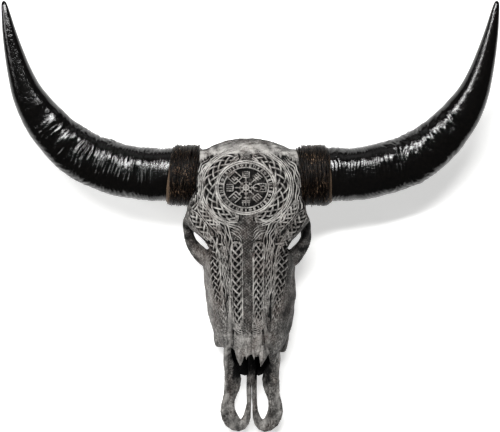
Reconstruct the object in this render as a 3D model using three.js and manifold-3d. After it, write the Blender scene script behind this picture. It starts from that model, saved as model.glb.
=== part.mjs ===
// A water buffalo skull without its lower jaw, dressed for display: bone, black horns, fibre lashing.
// It lies on its cheek teeth and on the two processes behind the ears, with the forehead up.
// Millimetres, +Z up, nose towards -Y, the animal's left towards +X, floor at z = 0.

import * as THREE from "three";
import { mergeVertices } from "three/addons/utils/BufferGeometryUtils.js";
import Module from "manifold-3d";

const wasm = await Module();
wasm.setup();

// Driving sizes of the skull, measured between the parallels that touch it
const skullLength = 512; // front of the upper jaw to the back of the crown
const noseTip = -378; // where the front of the skull lies on Y
const crownBack = noseTip + skullLength;
const orbitHalf = 111; // half the width across the eye sockets
const faceHalf = 78; // half the width across the cheeks
const crownHeight = 178; // highest point of the uncarved forehead above the floor
const palateHeight = 36; // roof of the mouth above the floor
const boneWall = 8; // thickness of the nose roof
const seam = 0.3; // gap that touching pieces keep
const hornRoot = 91; // where each horn starts, out from the midline
const hornShift = 4; // the horns sit this much towards the animal's left of the forehead's own middle
const lashing = { outer: 137, depth: 6 };
const toothPitch = [16, 18, 20, 24, 28, 31]; // length of each tooth: three premolars, then three molars
const toothHalf = [8, 8.6, 9.2, 10.6, 11.6, 11]; // half the width of each
const toothGap = 0.8;
const toothRow = { front: -222, out: 54, spread: 0.7 }; // each tooth sits a little further out than the last
const beyond = 600; // far enough to cut across the whole skull

const SIDES = [
  { name: "left", sign: 1, prong: 16.5, lean: 6, lashStart: 86, muzzle: -238 },
  { name: "right", sign: -1, prong: 19, lean: 12, lashStart: 92, muzzle: -228 },
];

// The midline of a real skull isn't straight: this one bows a few millimetres, as y and sideways shift.
const MIDLINE = [
  [-370, 3],
  [-200, 3],
  [-140, 1.4],
  [-85, -2],
  [-10, -5],
  [40, -5],
  [134, -3.4],
  [380, -3.4],
];
const midline = new THREE.LinearInterpolant(
  MIDLINE.map(([y]) => y),
  MIDLINE.map(([, shift]) => shift),
  1,
  new Float64Array(1),
);

// A closed three.js geometry as a solid, set along the bowed midline and turned outwards if it was mirrored.
function solid(geometry) {
  const bare = geometry.index ? geometry.toNonIndexed() : geometry.clone();
  bare.deleteAttribute("normal");
  bare.deleteAttribute("uv");
  const { position } = bare.attributes;
  for (let i = 0; i < position.count; i++) {
    position.setX(i, position.getX(i) + midline.evaluate(position.getY(i))[0]);
  }
  const merged = mergeVertices(bare, 1e-3);
  const corners = new Uint32Array(merged.index.array);
  const points = merged.attributes.position.array;
  const [a, b, c] = [new THREE.Vector3(), new THREE.Vector3(), new THREE.Vector3()];
  let volume = 0;
  for (let i = 0; i < corners.length; i += 3) {
    a.fromArray(points, corners[i] * 3);
    b.fromArray(points, corners[i + 1] * 3);
    c.fromArray(points, corners[i + 2] * 3);
    volume += a.dot(b.cross(c));
  }
  if (volume < 0) {
    for (let i = 0; i < corners.length; i += 3) {
      [corners[i + 1], corners[i + 2]] = [corners[i + 2], corners[i + 1]];
    }
  }
  return new wasm.Manifold(
    new wasm.Mesh({ numProp: 3, vertProperties: points, triVerts: corners }),
  );
}

const joined = (solids) => solids.reduce((all, next) => all.add(next));
const largest = (body) => body.decompose().sort((a, b) => b.volume() - a.volume())[0];

// A sphere stretched along a line of stations. Each station is a section: its centre, half its width, its
// reach up and down, how square it is above and below, its tilt, and its turn about the vertical in degrees.
function loft(stations, { around = 20, along = 20, grow = 0, facing = null } = {}) {
  const rows = stations.map(({ at, half, up, down = up, square = 2, squareBelow = square, tilt = 0, turn = 0 }) => [
    ...at,
    half,
    up,
    down,
    square,
    squareBelow,
    tilt,
    turn,
  ]);
  const width = rows[0].length;
  const spline = new THREE.CubicInterpolant(
    rows.map((_, i) => i),
    rows.flat(),
    width,
    new Float64Array(width),
  );
  const last = rows.length - 1;
  const sample = (t) => Array.from(spline.evaluate(THREE.MathUtils.clamp(t, 0, last)));
  const centre = (t) => new THREE.Vector3(...sample(t));
  const geometry = new THREE.SphereGeometry(1, around, along + 2);
  const position = geometry.attributes.position;
  for (let ring = 0; ring <= along + 2; ring++) {
    const step = THREE.MathUtils.clamp(ring - 1, 0, along) / along;
    const t = step * last;
    const pole = ring === 0 || ring === along + 2;
    const [x, y, z, half, up, down, above, below, tilt, turn] = sample(t);
    const ahead = facing ? new THREE.Vector3(...facing) : centre(t + 0.02).sub(centre(t - 0.02));
    ahead.normalize().applyAxisAngle(new THREE.Vector3(0, 0, 1), THREE.MathUtils.degToRad(turn));
    const across = new THREE.Vector3(0, 0, 1).cross(ahead).normalize();
    const upward = ahead.clone().cross(across);
    across.applyAxisAngle(ahead, THREE.MathUtils.degToRad(tilt));
    upward.applyAxisAngle(ahead, THREE.MathUtils.degToRad(tilt));
    const middle = new THREE.Vector3(x, y, z);
    if (step === 0) middle.addScaledVector(ahead, -grow);
    if (step === 1) middle.addScaledVector(ahead, grow);
    for (let i = 0; i <= around; i++) {
      const angle = ((i % around) / around) * 2 * Math.PI;
      const [c, s] = [Math.cos(angle), Math.sin(angle)];
      const power = 2 / Math.max(s >= 0 ? above : below, 0.8);
      const reach = Math.max((s >= 0 ? up : down) + grow, 0.4);
      const spread = Math.max(half + grow, 0.4);
      const point = middle.clone();
      if (!pole) {
        point.addScaledVector(across, spread * Math.sign(c) * Math.abs(c) ** power);
        point.addScaledVector(upward, reach * Math.sign(s) * Math.abs(s) ** power);
      }
      position.setXYZ(ring * (around + 1) + i, point.x, point.y, point.z);
    }
  }
  return solid(geometry);
}

// Stations of the animal's left side, put on the side asked for.
const mirrored = (stations, sign, shift = 0) =>
  stations.map((s) => ({
    ...s,
    at: [s.at[0] * sign + shift, s.at[1], s.at[2]],
    tilt: (s.tilt ?? 0) * sign,
    turn: (s.turn ?? 0) * sign,
  }));

const ball = (at, radii, around = 14, rings = 8) =>
  solid(new THREE.SphereGeometry(1, around, rings).scale(...radii).translate(...at));

const block = (low, high) => {
  const size = high.map((v, i) => v - low[i]);
  const middle = high.map((v, i) => (v + low[i]) / 2);
  return solid(new THREE.BoxGeometry(...size, 1, 20, 1).translate(...middle));
};

const floorCut = () => block([-beyond, -beyond, -200], [beyond, beyond, 0]);

// Head block: one form from the nose roof to the back of the braincase.
// Each row is y, half width, height of the widest line, top, bottom and squareness of the roof.
const HEAD = [
  [-262, 40, 70, 112, 36, 2.1],
  [-240, 47, 62, 118, 34, 2.1],
  [-222, 57, 54, 123, 32, 2.1],
  [-196, 68.5, 54, 130, 30, 2.0],
  [-162, 76.5, 58, 139, 32, 2.0],
  [-110, faceHalf + 1.5, 68, 152, palateHeight, 2.1],
  [-80, faceHalf + 1, 80, 160, palateHeight, 2.3],
  [-58, 70, 96, 166, 38, 2.4],
  [-35, 61, 102, 171, 40, 2.4],
  [0, 57, 102, 175, 42, 2.2],
  [40, 60, 100, 174, 42, 2.2],
  [80, 63, 96, 160, 42, 2.1],
  [106, 60, 88, 140, 46, 2.0],
  [122, 46, 84, 118, 56, 2.0],
  [129, 24, 82, 100, 64, 2.0],
];
const headForm = (inset) =>
  loft(
    HEAD.map(([y, half, z, top, bottom, square]) => ({
      at: [0, y, z],
      half: half - inset,
      up: top - z - inset,
      down: z - bottom - inset,
      square,
    })),
    { around: 24, along: 22, facing: [0, 1, 0] },
  );

// Frontal shield: the forehead, spread out over the eye sockets and the horn roots, and rounded at the crown.
// Each row is y, half width, height of the edge, top and thickness under the edge.
const SHIELD = [
  [-86, 38, 138, 158, 12],
  [-70, 59, 136, 162.5, 15],
  [-52, 68, 137, 167, 15],
  [-38, 79, 136, 170.5, 13],
  [-25, 92, 135, 173, 11],
  [-10, orbitHalf - 3, 133, 175.5, 12],
  [4, 104, 130, 177, 16],
  [24, 101, 126, crownHeight, 22],
  [48, 98, 122, 177, 28],
  [74, 91, 120, 171, 30],
  [96, 87, 118, 160, 30],
  [108, 82, 116, 151, 30],
  [118, 66, 113, 141, 30],
  [128, 42, 109, 127, 28],
  [crownBack, 14, 104, 114, 20],
];
const shieldForm = () =>
  loft(
    SHIELD.map(([y, half, z, top, under]) => ({
      at: [0, y, z],
      half,
      up: top - z,
      down: under,
      square: 2.3,
      squareBelow: 2.0,
    })),
    { around: 24, along: 16, facing: [0, 1, 0] },
  );

// Horn: a flattened sweep that starts at the bone and turns back and up to its tip.
const HORN = [
  { at: [hornRoot, 71, 122], half: 43, up: 34 },
  { at: [112, 71, 121.5], half: 43.5, up: 34.5 },
  { at: [140, 71.5, 121], half: 47, up: 36.5 },
  { at: [172, 72, 120], half: 46.5, up: 36 },
  { at: [208, 76, 119], half: 46, up: 35 },
  { at: [246, 86.5, 119], half: 46, up: 34 },
  { at: [281, 101, 121], half: 44.5, up: 33 },
  { at: [312, 121.5, 124], half: 42, up: 31.5 },
  { at: [338.5, 147, 128], half: 38, up: 29.5 },
  { at: [361, 175.5, 133], half: 33.5, up: 27 },
  { at: [380, 208.5, 139], half: 27, up: 23.5 },
  { at: [392.5, 243, 145], half: 21.2, up: 19.5 },
  { at: [402, 278, 151], half: 16.5, up: 15.5 },
  { at: [409.5, 312, 157], half: 12, up: 11.5 },
  { at: [415, 344, 162], half: 7, up: 6.8 },
  { at: [418, 365, 165], half: 0.9, up: 0.9 },
];
const hornForm = (side, grow = 0) =>
  loft(
    mirrored(HORN, side.sign, hornShift).map((s) => ({ ...s, square: 2.5, squareBelow: 1.9 })),
    { around: 16, along: 26, grow },
  );

// Carving: only its main beds are cut in the solid, each an even depth below the forehead's surface. A wheel
// of eight arms lies in a ring, and two crescents round it hold a few crossing cords.
const wheel = { at: [-2, 48.2], ring: [47.4, 42.3], disc: [38.2, 34.5], hub: [7, 6.5], arm: 4, ringDepth: 2, depth: 4.5 };
const wreath = {
  inner: [53, 48],
  outer: [72.6, 62.2],
  strip: 17, // width of the uncut band that parts the crescents
  depth: 5.5,
  cord: { count: 4, width: 4.5, length: 40, depth: 1, lean: 0.8 },
  sweep: 2.5, // angle that the cords of one crescent spread over
};

// Tall outlines that stand through the forehead: an oval about the middle of the wheel, and a straight bar
// through that middle or a point out from it.
const tall = { height: 90, middle: 175 };
const oval = (radii, around) =>
  solid(
    new THREE.CylinderGeometry(1, 1, tall.height, around)
      .rotateX(Math.PI / 2)
      .scale(...radii, 1)
      .translate(...wheel.at, tall.middle),
  );
const plank = (length, width, turn, out = [0, 0]) =>
  solid(
    new THREE.BoxGeometry(length, width, tall.height)
      .rotateZ(turn)
      .translate(wheel.at[0] + out[0], wheel.at[1] + out[1], tall.middle),
  );

function carvedBeds() {
  const roof = shieldForm();
  const sunk = (outline, depth) => outline.subtract(roof.translate([0, 0, -depth]));
  const arms = [0, 1, 2, 3].map((i) => plank(2 * wheel.ring[0], wheel.arm, (i * Math.PI) / 4));
  const disc = oval(wheel.disc, 16).subtract(joined(arms)).subtract(oval(wheel.hub, 8));
  const strip = plank(wreath.strip, 4 * wreath.outer[1], 0);
  const crescents = oval(wreath.outer, 24).subtract(oval(wreath.inner, 20)).subtract(strip);
  const middle = wreath.inner.map((r, i) => (r + wreath.outer[i]) / 2);
  const { count, width, length, depth, lean } = wreath.cord;
  const cords = [];
  for (const start of [0, Math.PI]) {
    for (let i = 0; i < count; i++) {
      const angle = start + ((i + 0.5) / count - 0.5) * wreath.sweep;
      const out = [middle[0] * Math.cos(angle), middle[1] * Math.sin(angle)];
      cords.push(plank(length, width, angle + (i % 2 ? lean : -lean), out));
    }
  }
  return joined([
    sunk(oval(wheel.ring, 20), wheel.ringDepth),
    sunk(disc, wheel.depth),
    sunk(crescents.subtract(joined(cords)), wreath.depth),
    sunk(crescents, depth),
  ]);
}

// Lashing: a belt of wound fibre over the joint between bone and horn.
function lashingBelt(side, grow = 0) {
  const rows = [0, 0.12, 0.5, 0.88, 1].map((share) => {
    const bulge = share === 0 || share === 1 ? 0 : lashing.depth;
    const out = THREE.MathUtils.lerp(side.lashStart, lashing.outer, share);
    const shape = { half: 44 + bulge, up: 35.5 + bulge, square: 2.4, squareBelow: 1.95 };
    return { at: [out, 70, 121.5], ...shape, turn: side.lean * (1 - share) };
  });
  return loft(mirrored(rows, side.sign, hornShift), {
    around: 20,
    along: 4,
    grow,
    facing: [side.sign, 0, 0],
  });
}
const lashingForm = (side) =>
  lashingBelt(side).subtract(hornForm(side, seam)).subtract(pedestal(side, seam));

// Pedestal: the bony root that the horn and its lashing sit on.
const PEDESTAL = [
  { at: [52, 70, 124], half: 46, up: 36 },
  { at: [74, 71, 122], half: 43.5, up: 34 },
  { at: [hornRoot - seam, 71, 122], half: 42.5, up: 33.5 },
];
const pedestal = (side, grow = 0) =>
  loft(
    mirrored(PEDESTAL, side.sign, hornShift).map((s) => ({ ...s, square: 2.4, squareBelow: 1.95 })),
    { around: 16, along: 4, grow, facing: [side.sign, 0, 0] },
  );

// Cheek bone: the lower rim of the eye socket and the bar that runs back from it to the temple.
function cheekForm(side, grow = 0) {
  const rim = mirrored(
    [
      { at: [96, 3, 130], half: 5, up: 8 },
      { at: [orbitHalf - 8, -9, 122], half: 6.5, up: 10 },
      { at: [orbitHalf - 8.5, -26, 109], half: 7.5, up: 11, tilt: 8 },
      { at: [99.5, -40, 99], half: 9.4, up: 12, tilt: 18 },
      { at: [94.5, -50.5, 93], half: 10.5, up: 13, tilt: 24 },
      { at: [86, -62, 89], half: 12.5, up: 14, tilt: 28 },
      { at: [74, -74, 88], half: 14, up: 15, tilt: 30 },
      { at: [62, -84, 88], half: 10, up: 12, tilt: 30 },
    ],
    side.sign,
  );
  const bar = mirrored(
    [
      { at: [96, -46, 90], half: 5, up: 9 },
      { at: [98, -20, 84], half: 5, up: 10 },
      { at: [96, 8, 82], half: 5, up: 9 },
      { at: [90, 34, 82], half: 5.5, up: 9 },
      { at: [76, 56, 80], half: 8, up: 10 },
      { at: [56, 68, 78], half: 8, up: 10 },
    ],
    side.sign,
  );
  const post = mirrored(
    [
      { at: [92, 12, 128], half: 8, up: 7 },
      { at: [97, 6, 106], half: 5.5, up: 6 },
      { at: [96, 0, 84], half: 5.5, up: 8 },
    ],
    side.sign,
  );
  return joined([
    loft(rim, { around: 10, along: 12, grow }),
    loft(bar, { around: 8, along: 8, grow }),
    loft(post, { around: 8, along: 4, grow }),
  ]);
}

// Cranium: forehead, braincase and the bones round the mouth of the neck.
function craniumForm() {
  let bone = headForm(0).add(shieldForm());
  for (const side of SIDES) {
    const at = (x, y, z) => [x * side.sign, y, z];
    bone = bone
      .subtract(ball(at(94, -38, 108), [44, 33, 29], 14, 9))
      .add(pedestal(side))
      .add(ball(at(22, 112, 62), [14, 19, 18]))
      .add(
        loft(
          [
            { at: at(44, 88, 60), half: 13, up: 12 },
            { at: at(45, 90, 34), half: 9, up: 12 },
            { at: at(45, 92, 12), half: 5.5, up: 9 },
            { at: at(45, 93, -6), half: 4.5, up: 7 },
          ],
          { around: 10, along: 6, facing: [0, 0.05, -1] },
        ),
      )
      .add(ball(at(34, 62, 44), [12, 16, 12], 10, 6))
      .add(
        loft(
          [
            { at: at(27, -78, 40), half: 5, up: 14 },
            { at: at(26, -40, 38), half: 4, up: 17 },
            { at: at(25, -4, 42), half: 4, up: 12 },
            { at: at(24, 24, 48), half: 5, up: 8 },
          ],
          { around: 8, along: 8, facing: [0, 1, 0] },
        ),
      )
      .subtract(ball(at(74, 58, 66), [18, 9, 9], 10, 6));
  }
  const neckHole = loft(
    [
      { at: [0, 76, 76], half: 9, up: 9 },
      { at: [0, 100, 73], half: 15, up: 14 },
      { at: [0, 140, 70], half: 17, up: 15 },
    ],
    { around: 14, along: 6 },
  );
  const throat = loft(
    [
      { at: [0, 14, 50], half: 6, up: 5 },
      { at: [0, -20, 42], half: 19, up: 15 },
      { at: [0, -70, 36], half: 20, up: 14 },
    ],
    { around: 14, along: 8 },
  );
  return bone.subtract(neckHole).subtract(throat).subtract(floorCut());
}

// The slanted seam between cranium and face, ahead of the eye sockets and behind the last molar.
const seamTop = -90;
const seamLean = 17 / 130; // how far the seam goes back for each millimetre down
function faceSide(back) {
  const [top, bottom] = [200, -20];
  const shape = new THREE.Shape([
    new THREE.Vector2(seamTop + back, top),
    new THREE.Vector2(seamTop + back - beyond, top),
    new THREE.Vector2(seamTop + back - beyond, bottom),
    new THREE.Vector2(seamTop + back + seamLean * (top - bottom), bottom),
  ]);
  const wedge = new THREE.ExtrudeGeometry(shape, { depth: 300, bevelEnabled: false });
  wedge.rotateX(Math.PI / 2).rotateZ(Math.PI / 2).translate(-150, 0, 0);
  return solid(wedge);
}

// Outline of one nasal bone seen from above, with its long outer prong and its short inner one.
function nasalOutline(side, margin) {
  const { prong } = side;
  const points = [
    [seam / 2 - margin, -54 + margin],
    [16, -60 + margin],
    [34 + margin, -84 + margin],
    [36 + margin, -112],
    [34.5 + margin, -150],
    [32.5 + margin, -190],
    [31 + margin, -222],
    [26 + margin, -244],
    [prong + 1, -258 - margin],
    [15.5 - margin, -248],
    [12.5, -232 - margin],
    [8, -243 - margin],
    [4.5, -240 - margin],
    [seam / 2 - margin, -233 - margin],
  ];
  const shape = new THREE.Shape(points.map(([x, y]) => new THREE.Vector2(x * side.sign, y)));
  const slab = new THREE.ExtrudeGeometry(shape, { depth: 140, bevelEnabled: false });
  return solid(slab.translate(0, 0, 80));
}
const nasalForm = (side) => headForm(0).intersect(nasalOutline(side, 0)).subtract(headForm(boneWall));

// The way through the nose, open at the front under the nasal bones.
const nosePassage = () =>
  loft(
    [
      { at: [0, -300, 78], half: 39, up: 40, down: 33 },
      { at: [0, -262, 78], half: 38, up: 32, down: 36 },
      { at: [0, -240, 76], half: 38, up: 34, down: 34 },
      { at: [0, -222, 76], half: 36, up: 38, down: 32 },
      { at: [0, -194, 80], half: 31, up: 38, down: 32 },
      { at: [0, -164, 86], half: 21, up: 28, down: 28 },
      { at: [0, -142, 90], half: 8, up: 10, down: 10 },
    ].map((s) => ({ ...s, square: 2.2 })),
    { around: 16, along: 10, facing: [0, 1, 0] },
  );

// Premaxilla: a blade beside the nose that flattens forwards, turns round the front and comes back as a rod.
const PREMAXILLA = [
  { at: [42, -172, 99], half: 2.6, up: 7, tilt: 16 },
  { at: [44.5, -200, 88], half: 4.2, up: 13, tilt: 14 },
  { at: [42.5, -232, 73], half: 5.4, up: 16, tilt: 14 },
  { at: [38.5, -260, 58], half: 10, up: 13, tilt: 28 },
  { at: [33, -282, 48], half: 17, up: 7, tilt: 30 },
  { at: [35, -302, 42], half: 15, up: 6, tilt: 24 },
  { at: [39.8, -320, 38], half: 12, up: 6.6, tilt: 16 },
  { at: [42, -341, 34], half: 14, up: 7, tilt: 8 },
  { at: [34, noseTip + 17.5, 31], half: 14.4, up: 6.5, tilt: 4 },
  { at: [20.5, noseTip + 11.5, 30], half: 11.8, up: 6.2, tilt: 0 },
  { at: [10.4, noseTip + 20, 31.5], half: 7.6, up: 6, tilt: 0 },
  { at: [5.4, -334, 34], half: 4.7, up: 5.4, tilt: 0 },
  { at: [4.7, -308, 36], half: 4.4, up: 5, tilt: 0 },
  { at: [4.7, -284, 38], half: 4.3, up: 4.8, tilt: 0 },
  { at: [4.7, -262, 40], half: 4.2, up: 4.4, tilt: 0 },
];
const premaxillaForm = (side, grow = 0) =>
  loft(mirrored(PREMAXILLA, side.sign), { around: 10, along: 30, grow });

// Maxilla: one cheek with its half of the palate and its row of six teeth.
function maxillaForm(side) {
  const at = (x, y, z) => [x * side.sign, y, z];
  const ridge = loft(
    [
      { at: at(52, side.muzzle, 34), half: 7, up: 12 },
      { at: at(54, -222, 28), half: 11, up: 17 },
      { at: at(56, -170, 27), half: 13, up: 18 },
      { at: at(57, -120, 27), half: 14.5, up: 18 },
      { at: at(55, -88, 30), half: 12, up: 16 },
      { at: at(50, -74, 36), half: 6, up: 10 },
    ].map((s) => ({ ...s, square: 2.6 })),
    { around: 12, along: 8, facing: [0, 1, 0] },
  );
  const palate = loft(
    [
      { at: at(12, -279, 40), half: 3, up: 2.6 },
      { at: at(18, -266, 41), half: 17, up: 4 },
      { at: at(20, -244, 41), half: 23, up: 5 },
      { at: at(22, -214, 40), half: 30, up: 6 },
      { at: at(22, -180, 40), half: 30, up: 6 },
    ].map((s) => ({ ...s, square: 3 })),
    { around: 12, along: 6, facing: [0, 1, 0] },
  );
  const half = side.sign > 0 ? block([seam / 2, -400, 0], [160, 0, 260]) : block([-160, -400, 0], [-seam / 2, 0, 260]);
  const noseCut = block([-160, -400, 46], [160, side.muzzle, 260]);
  const roof = joined(SIDES.map((s) => nasalOutline(s, seam))).subtract(headForm(boneWall + seam));
  let bone = headForm(0).subtract(noseCut).subtract(nosePassage()).add(palate).add(ridge);
  bone = bone.subtract(roof).subtract(floorCut()).intersect(half);
  let back = toothRow.front;
  toothPitch.forEach((pitch, i) => {
    const y = back + pitch / 2;
    back += pitch + toothGap;
    const molar = i > 2;
    const x = toothRow.out + toothRow.spread * i;
    const wide = toothHalf[i];
    const crownEnd = molar ? -4 : 5 - 2.2 * i; // molars reach the floor, premolars stop short of it
    const lobes = molar ? [-0.24, 0.24] : [0];
    for (const lobe of lobes) {
      const reach = molar ? pitch * 0.27 : pitch * 0.5;
      bone = bone.add(
        loft(
          [
            { at: at(x, y + lobe * pitch, 26), half: wide * 0.92, up: reach * 0.92 },
            { at: at(x + 0.6, y + lobe * pitch, 12), half: wide, up: reach },
            { at: at(x + 1, y + lobe * pitch, crownEnd), half: wide * 0.86, up: reach * 0.92 },
          ].map((s) => ({ ...s, square: 3 })),
          { around: 8, along: 2, facing: [0, 0.001, -1] },
        ),
      );
    }
  });
  return bone.subtract(floorCut());
}

const vomerForm = (grow = 0) =>
  loft(
    [
      { at: [0, -296, 49], half: 3.4, up: 3.4 },
      { at: [0, -284, 51], half: 6.4, up: 5.6, down: 5.4 },
      { at: [0, -262, 53], half: 6.6, up: 8, down: 7.5 },
      { at: [0, -236, 58], half: 6, up: 14, down: 11 },
      { at: [0, -206, 64], half: 5, up: 20, down: 17.5 },
      { at: [0, -184, 68], half: 4, up: 24, down: 21 },
    ],
    { around: 10, along: 10, grow, facing: [0, 1, 0] },
  );

// Materials: aged grey bone, polished black horn, brown palm fibre
const boneFinish = new THREE.MeshStandardMaterial({ color: 0x8b8883, roughness: 0.82, metalness: 0 });
const hornFinish = new THREE.MeshStandardMaterial({ color: 0x0c0b0b, roughness: 0.24, metalness: 0 });
const fibreFinish = new THREE.MeshStandardMaterial({ color: 0x241813, roughness: 0.9, metalness: 0 });

// One named mesh, with its own origin at the middle of its box.
function node(name, body, material) {
  const made = largest(body).getMesh();
  const geometry = new THREE.BufferGeometry();
  const points = new Float32Array(made.numVert * 3);
  for (let i = 0; i < made.numVert; i++) {
    points.set(made.vertProperties.subarray(i * made.numProp, i * made.numProp + 3), i * 3);
  }
  geometry.setAttribute("position", new THREE.BufferAttribute(points, 3));
  geometry.setIndex(new THREE.BufferAttribute(made.triVerts, 1));
  geometry.computeBoundingBox();
  const middle = geometry.boundingBox.getCenter(new THREE.Vector3()).round();
  geometry.translate(-middle.x, -middle.y, -middle.z);
  geometry.computeVertexNormals();
  const mesh = new THREE.Mesh(geometry, material.clone());
  mesh.name = name;
  mesh.position.copy(middle);
  return mesh;
}

const skull = new THREE.Group();
const bothNasals = joined(SIDES.map((s) => nasalOutline(s, seam))).subtract(headForm(boneWall + seam));
const facePlane = faceSide(seam);
const cranium = craniumForm().subtract(facePlane).subtract(bothNasals);
const premaxillae = joined(SIDES.map((s) => premaxillaForm(s, seam)));
const bones = new THREE.Group();
skull.add(bones);

const cheekGaps = joined(SIDES.map((s) => cheekForm(s, seam)));
let craniumBody = cranium.subtract(cheekGaps);
for (const side of SIDES) {
  craniumBody = craniumBody.subtract(lashingBelt(side, seam)).add(pedestal(side));
  craniumBody = craniumBody.subtract(hornForm(side, seam));
  bones.add(node(`zygomatic_${side.name}`, cheekForm(side).subtract(lashingBelt(side, seam)), boneFinish));
}
bones.add(node("cranium", craniumBody.subtract(carvedBeds()), boneFinish));

const vomerGap = vomerForm(seam);
for (const side of SIDES) {
  const maxilla = maxillaForm(side)
    .intersect(faceSide(0))
    .subtract(premaxillae)
    .subtract(vomerGap)
    .subtract(cheekGaps);
  bones.add(node(`maxilla_${side.name}`, maxilla, boneFinish));
  bones.add(node(`nasal_${side.name}`, nasalForm(side).subtract(vomerGap), boneFinish));
  const inner = block([-seam / 2, -500, 0], [seam / 2, 0, 200]);
  const premaxilla = premaxillaForm(side).subtract(inner).subtract(vomerGap);
  bones.add(node(`premaxilla_${side.name}`, premaxilla, boneFinish));
}
bones.add(node("vomer", vomerForm(), boneFinish));

for (const side of SIDES) {
  const mount = new THREE.Group();
  mount.add(node(`horn_${side.name}`, hornForm(side), hornFinish));
  mount.add(node(`lashing_${side.name}`, lashingForm(side), fibreFinish));
  skull.add(mount);
}

// The origin lies on the floor below the middle of the whole skull's box.
const middle = new THREE.Box3().setFromObject(skull).getCenter(new THREE.Vector3());
skull.position.set(-middle.x, -middle.y, 0);
const part = new THREE.Group();
part.add(skull);

export default part;
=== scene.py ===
"""Looks of a carved water buffalo skull: aged bone cut with interlace, polished horns, fibre lashings."""

import logging
import math
from collections.abc import Sequence
from dataclasses import dataclass, field
from enum import Enum
from functools import partial

import bmesh
import bpy
import numpy as np
from mathutils import Matrix, Vector
from mathutils.bvhtree import BVHTree


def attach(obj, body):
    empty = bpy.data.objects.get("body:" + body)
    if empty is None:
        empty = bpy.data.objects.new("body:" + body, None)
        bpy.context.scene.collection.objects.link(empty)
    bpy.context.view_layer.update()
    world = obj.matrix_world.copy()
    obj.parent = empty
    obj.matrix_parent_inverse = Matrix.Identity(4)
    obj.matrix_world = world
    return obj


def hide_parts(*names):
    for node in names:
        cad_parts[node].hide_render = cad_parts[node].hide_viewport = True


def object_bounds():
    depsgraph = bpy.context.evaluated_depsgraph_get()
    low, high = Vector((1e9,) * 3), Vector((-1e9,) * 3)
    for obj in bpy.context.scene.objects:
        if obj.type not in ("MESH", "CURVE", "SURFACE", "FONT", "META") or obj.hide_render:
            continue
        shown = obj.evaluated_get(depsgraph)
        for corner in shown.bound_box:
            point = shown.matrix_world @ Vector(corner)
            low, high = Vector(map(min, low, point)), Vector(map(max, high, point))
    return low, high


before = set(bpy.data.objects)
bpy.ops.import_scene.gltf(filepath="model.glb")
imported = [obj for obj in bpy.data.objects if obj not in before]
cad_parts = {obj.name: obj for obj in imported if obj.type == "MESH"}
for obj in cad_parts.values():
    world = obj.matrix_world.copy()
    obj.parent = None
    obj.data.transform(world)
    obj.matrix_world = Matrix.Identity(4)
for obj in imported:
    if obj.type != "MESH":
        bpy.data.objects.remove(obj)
CAD_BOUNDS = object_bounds()

MM = 0.001
SEED = 7
Pair = tuple[float, float]
Triple = tuple[float, float, float]
Value = bpy.types.NodeSocket | float | str | tuple[float, ...]
log = logging.getLogger("skull")

# Driving sizes in millimetres. The carving is drawn in a plan of its own, whose zero is a little off the
# row frame's, and every mesh is read into that plan and put back from it.
DRAWN_MIDDLE = np.array([0.6, -6.8, 0.0])
FRAME_MIDDLE = np.array([(CAD_BOUNDS[0][k] + CAD_BOUNDS[1][k]) / 2 / MM for k in (0, 1)] + [0.0])
SHIFT = FRAME_MIDDLE - DRAWN_MIDDLE
# The camera looks down from this far up, and its picture is this wide at the height of the face.
CAMERA_HEIGHT = 4000.0
PHOTO_WIDTH = 860.0
FOCUS_HEIGHT = 110.0
CARVING_MIDLINE = -3.4
COMPASS_CENTRE = (-6.8, 48.2)
# Half widths and half heights of the compass, of the beds that the solid has for it, and of the crescents.
COMPASS_RIM = (50.5, 45.6)
COMPASS_INNER = (38.2, 34.5)
SOLID_BED = (74.5, 64.0)
WREATH_INNER = (52.6, 47.4)
WREATH_OUTER = (74.2, 63.6)
# Between the beds of the two crescents a strip of the solid stands, from this ellipse outwards.
STRIP_START = (54.5, 49.5)
STRIP_HALF = 6.0
# A cord lower than this, or on a steeper slope, would hang over the rim of an eye socket.
LOWEST_CARVING = 98.0
STEEPEST_CARVING = 4.0
# The carving leans with the bone up to this slope.
STEEPEST_LEAN = 1.6
# Steps along a plait's cord and a wavy ridge, and along a line that is only measured from.
CORD_STEP = 1.5
RIDGE_STEP = 1.8
COARSE_STEP = 3.0
MUZZLE_MIDLINE = 3.0
NASAL_TIPS = -220.0
HORN_AXIS = (70.0, 121.5)
# Rays that measure the skull start this far up, and where they miss it the ground counts as this high.
ABOVE_SKULL = 400.0
OFF_SKULL = 60.0
# No motif is cut further than this from the line that it follows.
FURTHEST = 20.0


# Helpers for colours, shader nodes and meshes


def linear(hex_colour: str) -> tuple[float, float, float, float]:
    """Turn an sRGB hex colour into linear RGBA.

    Args:
        hex_colour: Colour such as "8b8883".

    Returns:
        The linear colour with an alpha of 1.
    """
    parts = [int(hex_colour[i : i + 2], 16) / 255 for i in (0, 2, 4)]
    rgb = [c / 12.92 if c <= 0.04045 else ((c + 0.055) / 1.055) ** 2.4 for c in parts]
    return (*rgb, 1.0)


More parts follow.
